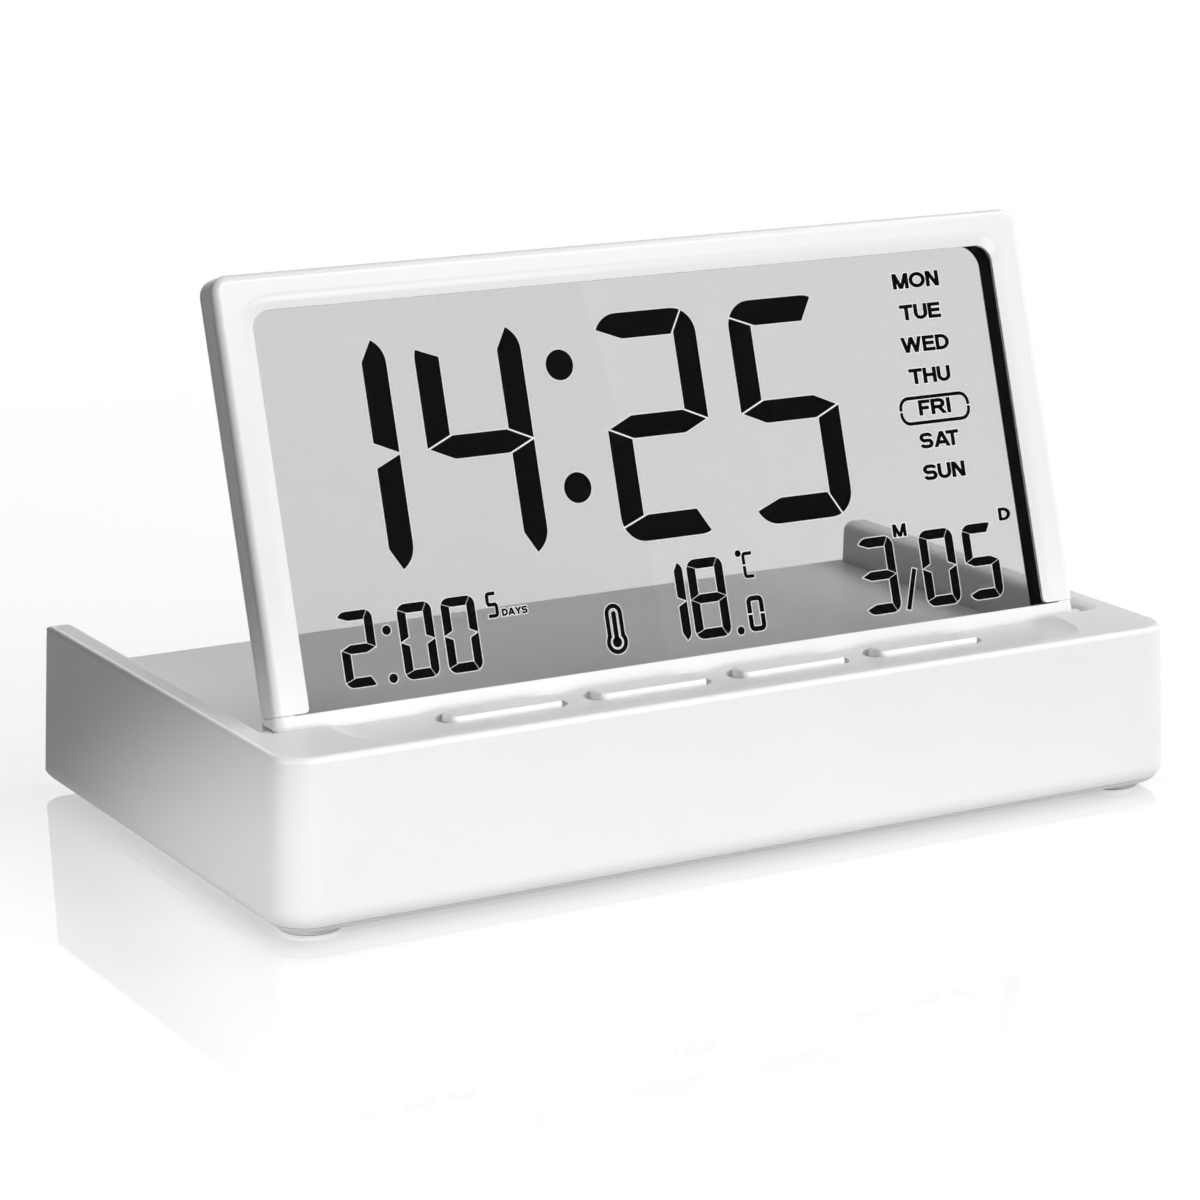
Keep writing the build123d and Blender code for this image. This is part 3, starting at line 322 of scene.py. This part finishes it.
# Screws, hinge pins and battery contacts: metal with the faint marks of turning, driving and
# pressing. The screws are zinc plated steel, the pins bright steel, and the contacts nickel
# plated strip.
mark_gloss = 0.18
stain_gloss = 0.10


def worked_metal(color, shaded, scale, gloss):
    """Worked metal: fine scratches one way and blurred stains, which both vary its gloss."""

    def paint(shade):
        point = shade.point()
        turned = shade.node("ShaderNodeMapping", {"Vector": point, "Scale": (0.15, 1.0, 1.0)})
        marks = shade.node("ShaderNodeTexNoise", {"Vector": turned, "Scale": scale, "Detail": 3.0})
        stain = shade.node("ShaderNodeTexNoise", {"Vector": point, "Scale": 260.0})
        bump = shade.node(
            "ShaderNodeBump", {"Height": marks, "Strength": 0.4, "Distance": 0.00001}, "Normal"
        )
        return {
            "Base Color": stain.blend(shaded, color),
            "Roughness": marks * mark_gloss + stain * stain_gloss + gloss,
            "Normal": bump,
        }

    return paint


screw_steel = finish(
    "zinc plated steel",
    worked_metal(grey(0.66, -0.02), grey(0.52, 0.02), scale=5200.0, gloss=0.22),
    Metallic=1.0,
)
pin_steel = finish(
    "bright steel",
    worked_metal(grey(0.70), grey(0.60), scale=6500.0, gloss=0.14),
    Metallic=1.0,
)
contact_metal = finish(
    "nickel plated strip",
    worked_metal((0.72, 0.68, 0.60, 1), (0.60, 0.56, 0.48, 1), scale=4000.0, gloss=0.18),
    Metallic=1.0,
)
dress(screw_steel, "case_screws", "board_screws")
dress(pin_steel, "hinge_pin_left", "hinge_pin_right")
dress(contact_metal, "battery_contact_positive", "battery_contact_negative", "battery_bridge")


# Washers: two rings turned from white nylon, one on each hinge pin. They keep the display frame
# off the case.
nylon = finish(
    "white nylon",
    moulded(grey(0.78, 0.01), grey(0.70, 0.01), grain=2400.0, grain_depth=0.00001, gloss=0.42),
)
dress(nylon, "hinge_washer_left", "hinge_washer_right")


# Circuit board: glass fibre board under green lacquer, with the copper tracks showing through
# as paler bands. Its parts are black plastic, white nylon for the switch plungers, and steel for
# the can of the crystal.
def board_lacquer(shade):
    """Green lacquer over tracks, with the weave of the board in its skin."""
    point = shade.point()
    tracks = shade.node(
        "ShaderNodeTexBrick",
        {
            "Vector": point,
            "Scale": 180.0,
            "Mortar Size": 0.03,
            "Color1": (0.010, 0.090, 0.032, 1),
            "Color2": (0.014, 0.120, 0.044, 1),
            "Mortar": (0.030, 0.200, 0.080, 1),
        },
    )
    weave = shade.node("ShaderNodeTexNoise", {"Vector": point, "Scale": 2200.0, "Detail": 2.0})
    bump = shade.node(
        "ShaderNodeBump", {"Height": weave, "Strength": 0.5, "Distance": 0.00002}, "Normal"
    )
    return {"Base Color": tracks, "Roughness": weave.spread(0.22, 0.42), "Normal": bump}


board_green = finish("green board lacquer", board_lacquer)
black_plastic = finish(
    "black plastic",
    moulded(grey(0.022), grey(0.015), grain=2600.0, grain_depth=0.00002, gloss=0.48),
    IOR=1.5,
)
dress(board_green, "main_circuit_board")
dress(black_plastic, "clock_chip", "buzzer", "temperature_sensor", "ribbon_socket")
for number in range(1, 5):
    dress(black_plastic, f"push_switch_{number}")
    dress(nylon, f"switch_plunger_{number}")
dress(pin_steel, "quartz_crystal")


# Cells: two AAA cells in printed sleeves with bare metal ends, plain but for a copper coloured
# band at the plus end. They lie side by side in the bay, and point opposite ways.
sleeve_ends = (-0.0218, 0.0208)
band_start = 0.0105
sleeve_cover = 0.65


def cell_skin(plus_side):
    """Paint for a cell whose plus end is on the side given, 1 for right and -1 for left."""

    def paint(shade):
        point = shade.point()
        toward_plus = point.along("X") * plus_side
        sleeve = (toward_plus > sleeve_ends[0]) * (toward_plus < sleeve_ends[1])
        band = toward_plus > band_start
        scuff = shade.node("ShaderNodeTexNoise", {"Vector": point, "Scale": 420.0, "Detail": 4.0})
        ink = band.blend((0.030, 0.034, 0.040, 1), (0.62, 0.33, 0.085, 1))
        tin = scuff.blend((0.56, 0.56, 0.57, 1), (0.68, 0.68, 0.69, 1))
        return {
            "Base Color": sleeve.blend(tin, ink),
            "Metallic": 1.0 - sleeve * sleeve_cover,
            "Roughness": scuff.spread(0.22, 0.37),
        }

    return paint


dress(finish("cell sleeve plus right", cell_skin(1)), "battery_cell_front")
dress(finish("cell sleeve plus left", cell_skin(-1)), "battery_cell_rear")


# Wires: one red and one black, in soft plastic covers. They run from the battery contacts to
# the circuit board.
cover_skin = {"grain": 1800.0, "grain_depth": 0.00001, "gloss": 0.40}
wire_red = finish(
    "red wire cover", moulded((0.52, 0.030, 0.024, 1), (0.42, 0.020, 0.018, 1), **cover_skin)
)
wire_black = finish("black wire cover", moulded(grey(0.024), grey(0.016), **cover_skin))
dress(wire_red, "battery_wire_positive")
dress(wire_black, "battery_wire_negative")


# Ribbon: amber film with a row of copper lines laminated inside it. One half is fixed in the
# case and the other in the display.
line_pitch = 0.001
line_gap_share = 0.45
lines_half_width = 0.0072


def ribbon_film(shade):
    """Amber film, with the copper lines side by side across the middle of it."""
    point = shade.point()
    across = point.along("X")
    row = shade.math("FRACT", across / line_pitch + 0.5) > line_gap_share
    lines = row * (shade.math("ABSOLUTE", across) < lines_half_width)
    haze = shade.node("ShaderNodeTexNoise", {"Vector": point, "Scale": 900.0, "Detail": 3.0})
    film_tone = haze.blend((0.30, 0.105, 0.012, 1), (0.38, 0.145, 0.020, 1))
    return {
        "Base Color": lines.blend(film_tone, (0.46, 0.20, 0.055, 1)),
        "Metallic": lines.spread(0.0, 0.5),
        "Roughness": haze.spread(0.20, 0.32),
    }


dress(finish("amber ribbon film", ribbon_film), "ribbon_fixed", "ribbon_moving")


# Display frame: two glossy white mouldings that clip together round the glass. The rear one
# has the rail and the hinge barrel along its foot.
frame_white = finish(
    "glossy white frame plastic",
    moulded(
        grey(0.84, -0.008), grey(0.82, -0.008), grain=1800.0, grain_depth=0.000004, gloss=0.22
    ),
    IOR=1.42,
)
dress(frame_white, "frame_front", "frame_rear")


# Liner: a strip of matt black plastic round the inside of the window, which hides the edge of
# the glass.
liner_black = finish(
    "matt black liner",
    moulded(grey(0.004), grey(0.002), grain=2600.0, grain_depth=0.00002, gloss=0.75),
    Specular_IOR_Level=0.12,
)
dress(liner_black, "window_liner")


# Liquid crystal cell: two glass plates with a grey polarising film on each outer face. What
# is behind it shows through, a third darker.
streak_shade = 0.9


def film(color):
    """A clear sheet with faint streaks in its tone and gloss."""
    shaded = (*(streak_shade * part for part in color[:3]), 1.0)

    def paint(shade):
        point = shade.point()
        streak = shade.node("ShaderNodeTexNoise", {"Vector": point, "Scale": 30.0, "Detail": 3.0})
        return {
            "Base Color": streak.blend(color, shaded),
            "Roughness": streak.spread(0.05, 0.09),
        }

    return paint


def clear(name, color, opacity):
    """A clear material: the lower its opacity, the more shows through each of its faces."""
    material = finish(name, film(color), Alpha=opacity, Specular_IOR_Level=0.05)
    material.surface_render_method = "BLENDED"
    return material


polariser = clear("polarising film", grey(0.008), opacity=0.12)
plate_glass = clear("display glass", (0.20, 0.21, 0.205, 1), opacity=0.003)
dress(polariser, "front_polariser", "rear_polariser")
dress(plate_glass, "lcd_front_glass", "lcd_rear_glass")

# Light crosses the eight clear faces of the cell on its way in and again on its way out, which is
# more than a ray may cross by default.
bpy.context.scene.cycles.transparent_max_bounces = 32


# Segments: patches of dark liquid crystal between the plates, each with a thin pale edge, a painted
# highlight that also glows a little of itself. They make the time, alarm, temperature and date, and
# the dark patch is thicker than its edge, so that it shows from behind too.
art_thickness = 0.09
edge_thickness = 0.03
dark_growth = 0.05
# How far the pale edge, a painted glowing highlight, reaches past each drawn outline.
painted_glow_growth = 0.19

# They are drawn on a sheet between the plates, in millimetres: u runs to the right from near the
# middle, and v up the display from the hinge.
hinge = next(joint for joint in frame["joints"] if joint["name"] == "display_hinge")
lean = radians(17.3)
millimetre = 0.001
art_depth = -1.85
art_shift = 0.36
display_sheet = Matrix.Translation(Vector(hinge["pos_m"])) @ Matrix(
    (
        (1, 0, 0, 0),
        (0, sin(lean), -cos(lean), 0),
        (0, cos(lean), sin(lean), 0),
        (0, 0, 0, 1),
    )
) @ Matrix.Scale(millimetre, 4) @ Matrix.Translation((art_shift, 0, art_depth))


def crystal(color, shaded):
    """Liquid crystal: one even tone with faint clouds."""

    def paint(shade):
        point = shade.point()
        cloud = shade.node("ShaderNodeTexNoise", {"Vector": point, "Scale": 140.0, "Detail": 2.0})
        return {
            "Base Color": cloud.blend(color, shaded),
            "Roughness": cloud.spread(0.35, 0.45),
        }

    return paint


dark_crystal = finish("dark crystal", crystal(grey(0.001), grey(0.0005)), Specular_IOR_Level=0.02)
# The pale edge is painted light: a pale tone that glows a little of itself, though it is no lamp.
painted_glow_crystal = finish(
    "crystal edge with painted glow",
    crystal(grey(0.95), grey(0.90)),
    Emission_Color=(1.0, 1.0, 1.0, 1.0),
    Emission_Strength=0.25,
)


def segment(form, center, size, radius, cuts, grown):
    """One patch: a rounded rectangle trimmed by straight cuts, and grown on every side.

    A cut is a point and a direction that points away from what stays."""
    patch = bmesh.new()
    half = (size[0] / 2 + grown, size[1] / 2 + grown)
    corners = [(-1, -1), (1, -1), (1, 1), (-1, 1)]
    verts = [
        patch.verts.new((center[0] + sx * half[0], center[1] + sy * half[1], 0)) for sx, sy in corners
    ]
    patch.faces.new(verts)
    if radius > 0:
        bmesh.ops.bevel(
            patch, geom=verts, offset=radius + grown, segments=8, profile=0.5,
            affect="VERTICES", material=-1, clamp_overlap=False,
        )
    for point, away in cuts:
        length = hypot(*away)
        normal = Vector((away[0] / length, away[1] / length, 0))
        start = Vector((point[0], point[1], 0)) + normal * grown
        bmesh.ops.bisect_plane(
            patch, geom=patch.verts[:] + patch.edges[:] + patch.faces[:],
            plane_co=start, plane_no=normal, clear_outer=True,
        )
    thicken(patch, art_thickness)
    merge(form, patch)


def thicken(patch, height):
    """Gives flat faces a height, centred on their plane."""
    raised = bmesh.ops.extrude_face_region(patch, geom=patch.faces[:])
    top = [item for item in raised["geom"] if isinstance(item, bmesh.types.BMVert)]
    bmesh.ops.translate(patch, verts=top, vec=(0, 0, height))
    bmesh.ops.translate(patch, verts=patch.verts[:], vec=(0, 0, -height / 2))
    bmesh.ops.recalc_face_normals(patch, faces=patch.faces[:])


def merge(form, patch):
    """Adds a patch to a form and clears it away."""
    mesh = bpy.data.meshes.new("patch")
    patch.to_mesh(mesh)
    patch.free()
    form.from_mesh(mesh)
    bpy.data.meshes.remove(mesh)


def line_cut(first, second, inside, gap):
    """A cut along the line through two points, half a gap short of it on the inside."""
    along = Vector(second) - Vector(first)
    away = Vector((along.y, -along.x)).normalized()
    if away.dot(Vector(inside) - Vector(first)) > 0:
        away = -away
    start = Vector(first) - away * gap / 2
    return (start, away)


class Digit:
    """The proportions of a seven-part numeral, with mitred joints between its parts.

    The joint at a corner runs through two points, measured from that corner where the stroke is
    joint_stroke wide, and in proportion elsewhere."""

    joint_stroke = 4.15
    left_joint = ((0.7, 2.7), (4.5, 4.15))
    right_joint = ((2.6, 0.9), (4.5, 4.15))

    def __init__(self, width, height, stroke, middle_stroke, radius, gap):
        self.width = width
        self.height = height
        self.stroke = stroke
        self.middle_stroke = middle_stroke
        self.radius = radius
        self.gap = gap

    def draw(self, form, lit, center, grown):
        """Draws the lit parts, named a to g as usual: a on top, then clockwise, g in the middle."""
        wide, tall, thick = self.width, self.height, self.stroke
        scale = thick / self.joint_stroke
        left, low = center[0] - wide / 2, center[1] - tall / 2

        def at(x, y):
            return (left + x, low + y)

        def cut(first, second, inside):
            return line_cut(at(*first), at(*second), at(*inside), self.gap)

        def flat(x, y, dx, dy):
            return (Vector(at(x, y)), Vector((dx, dy)))

        up, down = (tall + self.middle_stroke) / 2, (tall - self.middle_stroke) / 2
        top_left = [(x * scale, tall - y * scale) for x, y in self.left_joint]
        top_right = [(wide - x * scale, tall - y * scale) for x, y in self.right_joint]
        low_left = [(x * scale, y * scale) for x, y in self.left_joint]
        low_right = [(wide - x * scale, y * scale) for x, y in self.right_joint]
        mid_left_up = ((0, tall / 2), (thick, up))
        mid_left_low = ((0, tall / 2), (thick, down))
        mid_right_up = ((wide, tall / 2), (wide - thick, up))
        mid_right_low = ((wide, tall / 2), (wide - thick, down))

        # Each part has a point inside it, its straight inner edges, and the joints where it ends.
        parts = {
            "a": ((wide / 2, tall), [(0, tall - thick, 0, -1)], [top_left, top_right]),
            "b": ((wide, tall * 3 / 4), [(wide - thick, 0, -1, 0)], [top_right, mid_right_up]),
            "c": ((wide, tall / 4), [(wide - thick, 0, -1, 0)], [low_right, mid_right_low]),
            "d": ((wide / 2, 0), [(0, thick, 0, 1)], [low_left, low_right]),
            "e": ((0, tall / 4), [(thick, 0, 1, 0)], [low_left, mid_left_low]),
            "f": ((0, tall * 3 / 4), [(thick, 0, 1, 0)], [top_left, mid_left_up]),
            "g": (
                (wide / 2, tall / 2),
                [(0, up, 0, 1), (0, down, 0, -1)],
                [mid_left_up, mid_left_low, mid_right_up, mid_right_low],
            ),
        }
        for part in lit:
            inside, edges, joints = parts[part]
            cuts = [flat(*edge) for edge in edges] + [cut(*joint, inside) for joint in joints]
            segment(form, center, (wide, tall), self.radius, cuts, grown)


numerals = {
    "0": "abcdef", "1": "bc", "2": "abged", "3": "abgcd", "4": "fgbc", "5": "afgcd",
    "8": "abcdefg",
}


def dot(form, center, radius, grown):
    """A round patch."""
    patch = bmesh.new()
    place = Matrix.Translation((center[0], center[1], 0))
    bmesh.ops.create_circle(patch, cap_ends=True, segments=40, radius=radius + grown, matrix=place)
    thicken(patch, art_thickness)
    merge(form, patch)


def bar(form, first, second, width, grown, radius=0.0):
    """A straight patch between two points."""
    along = Vector(second) - Vector(first)
    patch = bmesh.new()
    segment(patch, (0, 0), (along.length, width), radius, [], grown)
    turn = Matrix.Rotation(along.to_2d().angle_signed(Vector((1, 0))), 4, "Z")
    middle = (Vector(first) + Vector(second)) / 2
    bmesh.ops.transform(
        patch, matrix=Matrix.Translation((middle.x, middle.y, 0)) @ turn, verts=patch.verts[:]
    )
    merge(form, patch)


def settle(name, form, material):
    """Puts a finished form in its place in the display, as a piece that rides on it."""
    bmesh.ops.transform(form, matrix=display_sheet, verts=form.verts[:])
    mesh = bpy.data.meshes.new(name)
    form.to_mesh(mesh)
    form.free()
    made = bpy.data.objects.new(name, mesh)
    bpy.context.scene.collection.objects.link(made)
    mesh.materials.append(material)
    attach(made, "display")


def printed(name, draw):
    """Draws a group of patches twice: dark, and wider but thinner as its pale edge, a painted
    highlight that glows.
    """
    form = bmesh.new()
    draw(form, dark_growth)
    settle(name, form, dark_crystal)
    rim = bmesh.new()
    draw(rim, painted_glow_growth)
    bmesh.ops.scale(rim, verts=rim.verts[:], vec=(1, 1, edge_thickness / art_thickness))
    settle(f"{name}_painted_glow", rim, painted_glow_crystal)


def numeral_row(digit, v, places, dots=(), dot_radius=0.0, bars=(), bar_width=0.0):
    """How to draw numerals in a row at one v, each at its own u, and the dots and bars by them."""

    def draw(form, grown):
        for text, u in places:
            digit.draw(form, numerals[text], (u, v), grown)
        for center in dots:
            dot(form, center, dot_radius, grown)
        for first, second in bars:
            bar(form, first, second, bar_width, grown)

    return draw


time_row = numeral_row(
    Digit(width=18.9, height=37.2, stroke=4.15, middle_stroke=3.65, radius=4.3, gap=0.38),
    v=42.1,
    places=(("1", -55.0), ("4", -31.05), ("2", 1.55), ("5", 26.9)),
    dots=((-15.0, 53.3), (-15.0, 33.4)),
    dot_radius=2.45,
)
alarm_row = numeral_row(
    Digit(width=5.9, height=11.8, stroke=1.38, middle_stroke=1.3, radius=1.4, gap=0.18),
    v=12.75,
    places=(("2", -57.4), ("0", -47.1), ("0", -39.45)),
    dots=((-52.25, 15.0), (-52.25, 7.45)),
    dot_radius=0.7,
)
heat_row = numeral_row(
    Digit(width=6.7, height=13.0, stroke=1.5, middle_stroke=1.4, radius=1.6, gap=0.18),
    v=13.0,
    places=(("1", -1.55), ("8", 6.05)),
    dots=((11.2, 6.95),),
    dot_radius=0.63,
)
date_row = numeral_row(
    Digit(width=6.8, height=12.8, stroke=1.54, middle_stroke=1.4, radius=1.7, gap=0.18),
    v=12.7,
    places=(("3", 39.45), ("0", 51.65), ("5", 60.45)),
    bars=(((44.3, 6.4), (46.5, 13.0)),),
    bar_width=0.75,
)
printed("time_segments", time_row)
printed("alarm_segments", alarm_row)
printed("temperature_segments", heat_row)
printed("date_segments", date_row)


# Small signs: the snooze count, the tenths and degree mark of the temperature, a thermometer,
# and the frame round the day. Most of them are thin rounded bands of crystal. A box gives the
# left, right, low and high side of one.
narrowest_bend = 0.02


def hoop(form, box, radius, stroke, cuts, grown):
    """A band just inside a rounded box, trimmed by straight cuts."""
    left, right, low, high = box
    corners = ((left, low), (right, low), (right, high), (left, high))
    swell = ((-1, -1), (1, -1), (1, 1), (-1, 1))
    patch = bmesh.new()
    verts = [
        patch.verts.new((x + sx * grown, y + sy * grown, 0))
        for (x, y), (sx, sy) in zip(corners, swell)
    ]
    patch.faces.new(verts)
    bmesh.ops.bevel(
        patch, geom=verts, offset=radius + grown, segments=8, profile=0.5,
        affect="VERTICES", material=-1, clamp_overlap=False,
    )
    bmesh.ops.remove_doubles(patch, verts=patch.verts[:], dist=0.001)
    # A band as wide as the bend at its corners would fold over itself there.
    widest = radius + (1 - narrowest_bend) * grown
    width = min(stroke + 2 * grown, widest)
    band = bmesh.ops.inset_region(
        patch, faces=patch.faces[:], thickness=width, use_boundary=True, use_even_offset=True
    )["faces"]
    hollow = [face for face in patch.faces if face not in band]
    bmesh.ops.delete(patch, geom=hollow, context="FACES")
    for point, away in cuts:
        bmesh.ops.bisect_plane(
            patch, geom=patch.verts[:] + patch.edges[:] + patch.faces[:],
            plane_co=Vector((*point, 0)) + Vector((*away, 0)) * grown, plane_no=(*away, 0),
            clear_outer=True,
        )
    thicken(patch, art_thickness)
    merge(form, patch)


left_way, right_way, down_way, up_way = (-1, 0), (1, 0), (0, -1), (0, 1)
break_gap = 0.16


def broken_hoop(form, box, radius, stroke, grown, cuts=()):
    """A band in two halves, with a thin break at half height on each side."""
    middle = (box[2] + box[3]) / 2
    halves = (((0, middle + break_gap), down_way), ((0, middle - break_gap), up_way))
    for half in halves:
        hoop(form, box, radius, stroke, (half, *cuts), grown)


sign_stroke = 0.5
sign_radius = 0.65

# The snooze count is a small 5 of two bends, the upper one open on the right and the lower one
# on the left.
upper_box = (-34.4, -30.4, 16.45, 18.7)
upper_opening = (-32.7, 0)
lower_box = (-36.4, -32.4, 14.65, 16.95)
lower_opening = (-34.2, 0)

# The tenths of the temperature, the degree mark and the C.
tenths_box = (13.0, 16.1, 6.5, 12.3)
tenths_radius = 1.0
tenths_stroke = 0.75
degree_place = (12.7, 19.5)
degree_radius = 0.53
unit_box = (13.35, 17.2, 15.3, 19.6)
unit_opening = (15.2, 0)

# The thermometer is drawn in outline, a bulb and a tube that meet, with the column inside.
bulb_box = (-13.9, -10.1, 6.1, 9.9)
bulb_radius = 1.89
tube_box = (-13.55, -10.45, 6.4, 14.2)
tube_radius = 1.54
outline_stroke = 0.65
bulb_top = (0, 9.0)
column_foot = (-12.0, 8.0)
column_head = (-11.98, 13.0)
column_width = 0.75
column_radius = 0.3
pool_radius = 0.8

# The frame round the day that it is.
day_box = (48.4, 62.6, 37.0, 41.8)
day_radius = 1.9


def draw_signs(form, grown):
    """All the small signs, in the order given above."""
    hoop(form, upper_box, sign_radius, sign_stroke, [(upper_opening, right_way)], grown)
    hoop(form, lower_box, sign_radius, sign_stroke, [(lower_opening, left_way)], grown)
    broken_hoop(form, tenths_box, tenths_radius, tenths_stroke, grown)
    dot(form, degree_place, degree_radius, grown)
    broken_hoop(form, unit_box, sign_radius, sign_stroke, grown, [(unit_opening, right_way)])
    hoop(form, bulb_box, bulb_radius, outline_stroke, [(bulb_top, up_way)], grown)
    hoop(form, tube_box, tube_radius, outline_stroke, [(bulb_top, down_way)], grown)
    dot(form, column_foot, pool_radius, grown)
    bar(form, column_foot, column_head, column_width, grown, column_radius)
    broken_hoop(form, day_box, day_radius, sign_stroke, grown)


printed("small_signs", draw_signs)


# Words: the days of the week and the small captions of the date and the alarm, in bold upright
# capitals. A letter has its width, its lines (two ends each) and its bends (a centre, a radius,
# the angle where the bend starts and how far it turns), drawn one unit high.
letter_line = 0.2
letter_gap = 0.08
letters = {
    "A": (1.0, [(0.068, -0.1, 0.539, 1.1), (0.932, -0.1, 0.461, 1.1), (0.24, 0.29, 0.76, 0.29)], []),
    "D": (
        0.836,
        [(0.1, 0, 0.1, 1), (0, 0.9, 0.336, 0.9), (0, 0.1, 0.336, 0.1)],
        [(0.336, 0.5, 0.4, -90, 180)],
    ),
    "E": (
        0.76,
        [(0.1, 0, 0.1, 1), (0, 0.9, 0.74, 0.9), (0, 0.52, 0.7, 0.52), (0, 0.1, 0.76, 0.1)],
        [],
    ),
    "F": (0.686, [(0.1, 0, 0.1, 1), (0, 0.9, 0.686, 0.9), (0, 0.48, 0.6, 0.48)], []),
    "H": (0.8, [(0.1, 0, 0.1, 1), (0.7, 0, 0.7, 1), (0, 0.52, 0.8, 0.52)], []),
    "I": (0.2, [(0.1, 0, 0.1, 1)], []),
    "M": (
        0.965,
        [(0.1, 0, 0.1, 1), (0.865, 0, 0.865, 1), (0.073, 1.1, 0.52, -0.1), (0.892, 1.1, 0.445, -0.1)],
        [],
    ),
    "N": (0.795, [(0.1, 0, 0.1, 1), (0.695, 0, 0.695, 1), (0.065, 1.1, 0.73, -0.1)], []),
    "O": (1.0, [], [(0.5, 0.5, 0.4, 0, 360)]),
    "R": (
        0.9,
        [(0.1, 0, 0.1, 1), (0, 0.9, 0.51, 0.9), (0, 0.46, 0.51, 0.46), (0.46, 0.47, 0.86, -0.1)],
        [(0.51, 0.68, 0.22, -90, 180)],
    ),
    "S": (
        0.823,
        [(0.3, 0.9, 0.523, 0.9), (0.3, 0.5, 0.523, 0.5), (0.3, 0.1, 0.523, 0.1)],
        [
            (0.3, 0.7, 0.2, 90, 180), (0.523, 0.3, 0.2, -90, 180),
            (0.523, 0.7, 0.2, 15, 75), (0.3, 0.3, 0.2, 195, 75),
        ],
    ),
    "T": (0.794, [(0, 0.9, 0.794, 0.9), (0.397, 0, 0.397, 1)], []),
    "U": (0.8, [(0.1, 0.4, 0.1, 1), (0.7, 0.4, 0.7, 1)], [(0.4, 0.4, 0.3, 180, 180)]),
    "W": (
        1.306,
        [
            (0.082, 1.1, 0.391, -0.1), (0.336, -0.1, 0.682, 1.1),
            (0.97, -0.1, 0.624, 1.1), (1.224, 1.1, 0.915, -0.1),
        ],
        [],
    ),
    "Y": (0.93, [(0.06, 1.1, 0.465, 0.42), (0.87, 1.1, 0.465, 0.42), (0.465, 0, 0.465, 0.48)], []),
}
tucked = {"AT": 0.26}
degrees_per_step = 12
fewest_steps = 6


def line(form, ends, shift, grown):
    """A straight piece of a letter, trimmed level at the letter's foot and head."""
    first, second = Vector((ends[0] + shift, ends[1], 0)), Vector((ends[2] + shift, ends[3], 0))
    along = second - first
    patch = bmesh.new()
    bmesh.ops.create_grid(patch, x_segments=1, y_segments=1, size=0.5)
    stretch = Matrix.Diagonal((along.length + 2 * grown, letter_line + 2 * grown, 1, 1))
    turn = Matrix.Rotation(along.to_2d().angle_signed(Vector((1, 0))), 4, "Z")
    place = Matrix.Translation((first + second) / 2) @ turn @ stretch
    bmesh.ops.transform(patch, matrix=place, verts=patch.verts[:])
    for level, way in ((-grown, -1), (1 + grown, 1)):
        bmesh.ops.bisect_plane(
            patch, geom=patch.verts[:] + patch.edges[:] + patch.faces[:],
            plane_co=(0, level, 0), plane_no=(0, way, 0), clear_outer=True,
        )
    thicken(patch, art_thickness)
    merge(form, patch)


def bend(form, shape, shift, grown):
    """A curved piece of a letter: a short line swept round a centre."""
    x, y, radius, start, turn = shape
    patch = bmesh.new()
    way = Vector((cos(radians(start)), sin(radians(start)), 0))
    reach = letter_line / 2 + grown
    ends = [patch.verts.new(way * (radius + side * reach)) for side in (-1, 1)]
    patch.edges.new(ends)
    bmesh.ops.spin(
        patch, geom=patch.verts[:] + patch.edges[:], cent=(0, 0, 0), axis=(0, 0, 1),
        angle=radians(turn), steps=max(fewest_steps, turn // degrees_per_step), use_merge=turn == 360,
    )
    bmesh.ops.translate(patch, verts=patch.verts[:], vec=(x + shift, y, 0))
    thicken(patch, art_thickness)
    merge(form, patch)


def word(form, text, box, grown):
    """A word stretched to fill a box (left, right, low, high)."""
    left, right, low, high = box
    shift = 0.0
    glyphs = bmesh.new()
    for letter, follower in zip(text, text[1:] + " "):
        width, lines, bends = letters[letter]
        for ends in lines:
            line(glyphs, ends, shift, grown / (high - low))
        for shape in bends:
            bend(glyphs, shape, shift, grown / (high - low))
        shift += width + letter_gap - tucked.get(letter + follower, 0.0)
    stretch = (right - left) / (shift - letter_gap)
    bmesh.ops.scale(glyphs, verts=glyphs.verts[:], vec=(stretch, high - low, 1))
    bmesh.ops.translate(glyphs, verts=glyphs.verts[:], vec=(left, low, 0))
    merge(form, glyphs)


day_middle = 55.5
cap_height = 2.55
days = (
    ("MON", 9.3, 60.2), ("TUE", 8.2, 54.8), ("WED", 9.7, 49.3), ("THU", 8.3, 43.9),
    ("FRI", 6.4, 38.5), ("SAT", 7.9, 32.9), ("SUN", 8.4, 27.5),
)


def draw_days(form, grown):
    """The names of the days in a column, each with its width and its foot's v."""
    for text, width, foot in days:
        sides = (day_middle - width / 2, day_middle + width / 2)
        word(form, text, (*sides, foot, foot + cap_height), grown)


printed("day_names", draw_days)

captions = (
    ("DAYS", (-31.8, -27.3, 14.7, 15.8)),
    ("M", (43.4, 46.0, 18.7, 20.8)),
    ("D", (65.2, 67.5, 19.1, 21.2)),
)


def draw_captions(form, grown):
    """The captions, each in its own box."""
    for text, box in captions:
        word(form, text, box, grown)


printed("captions", draw_captions)
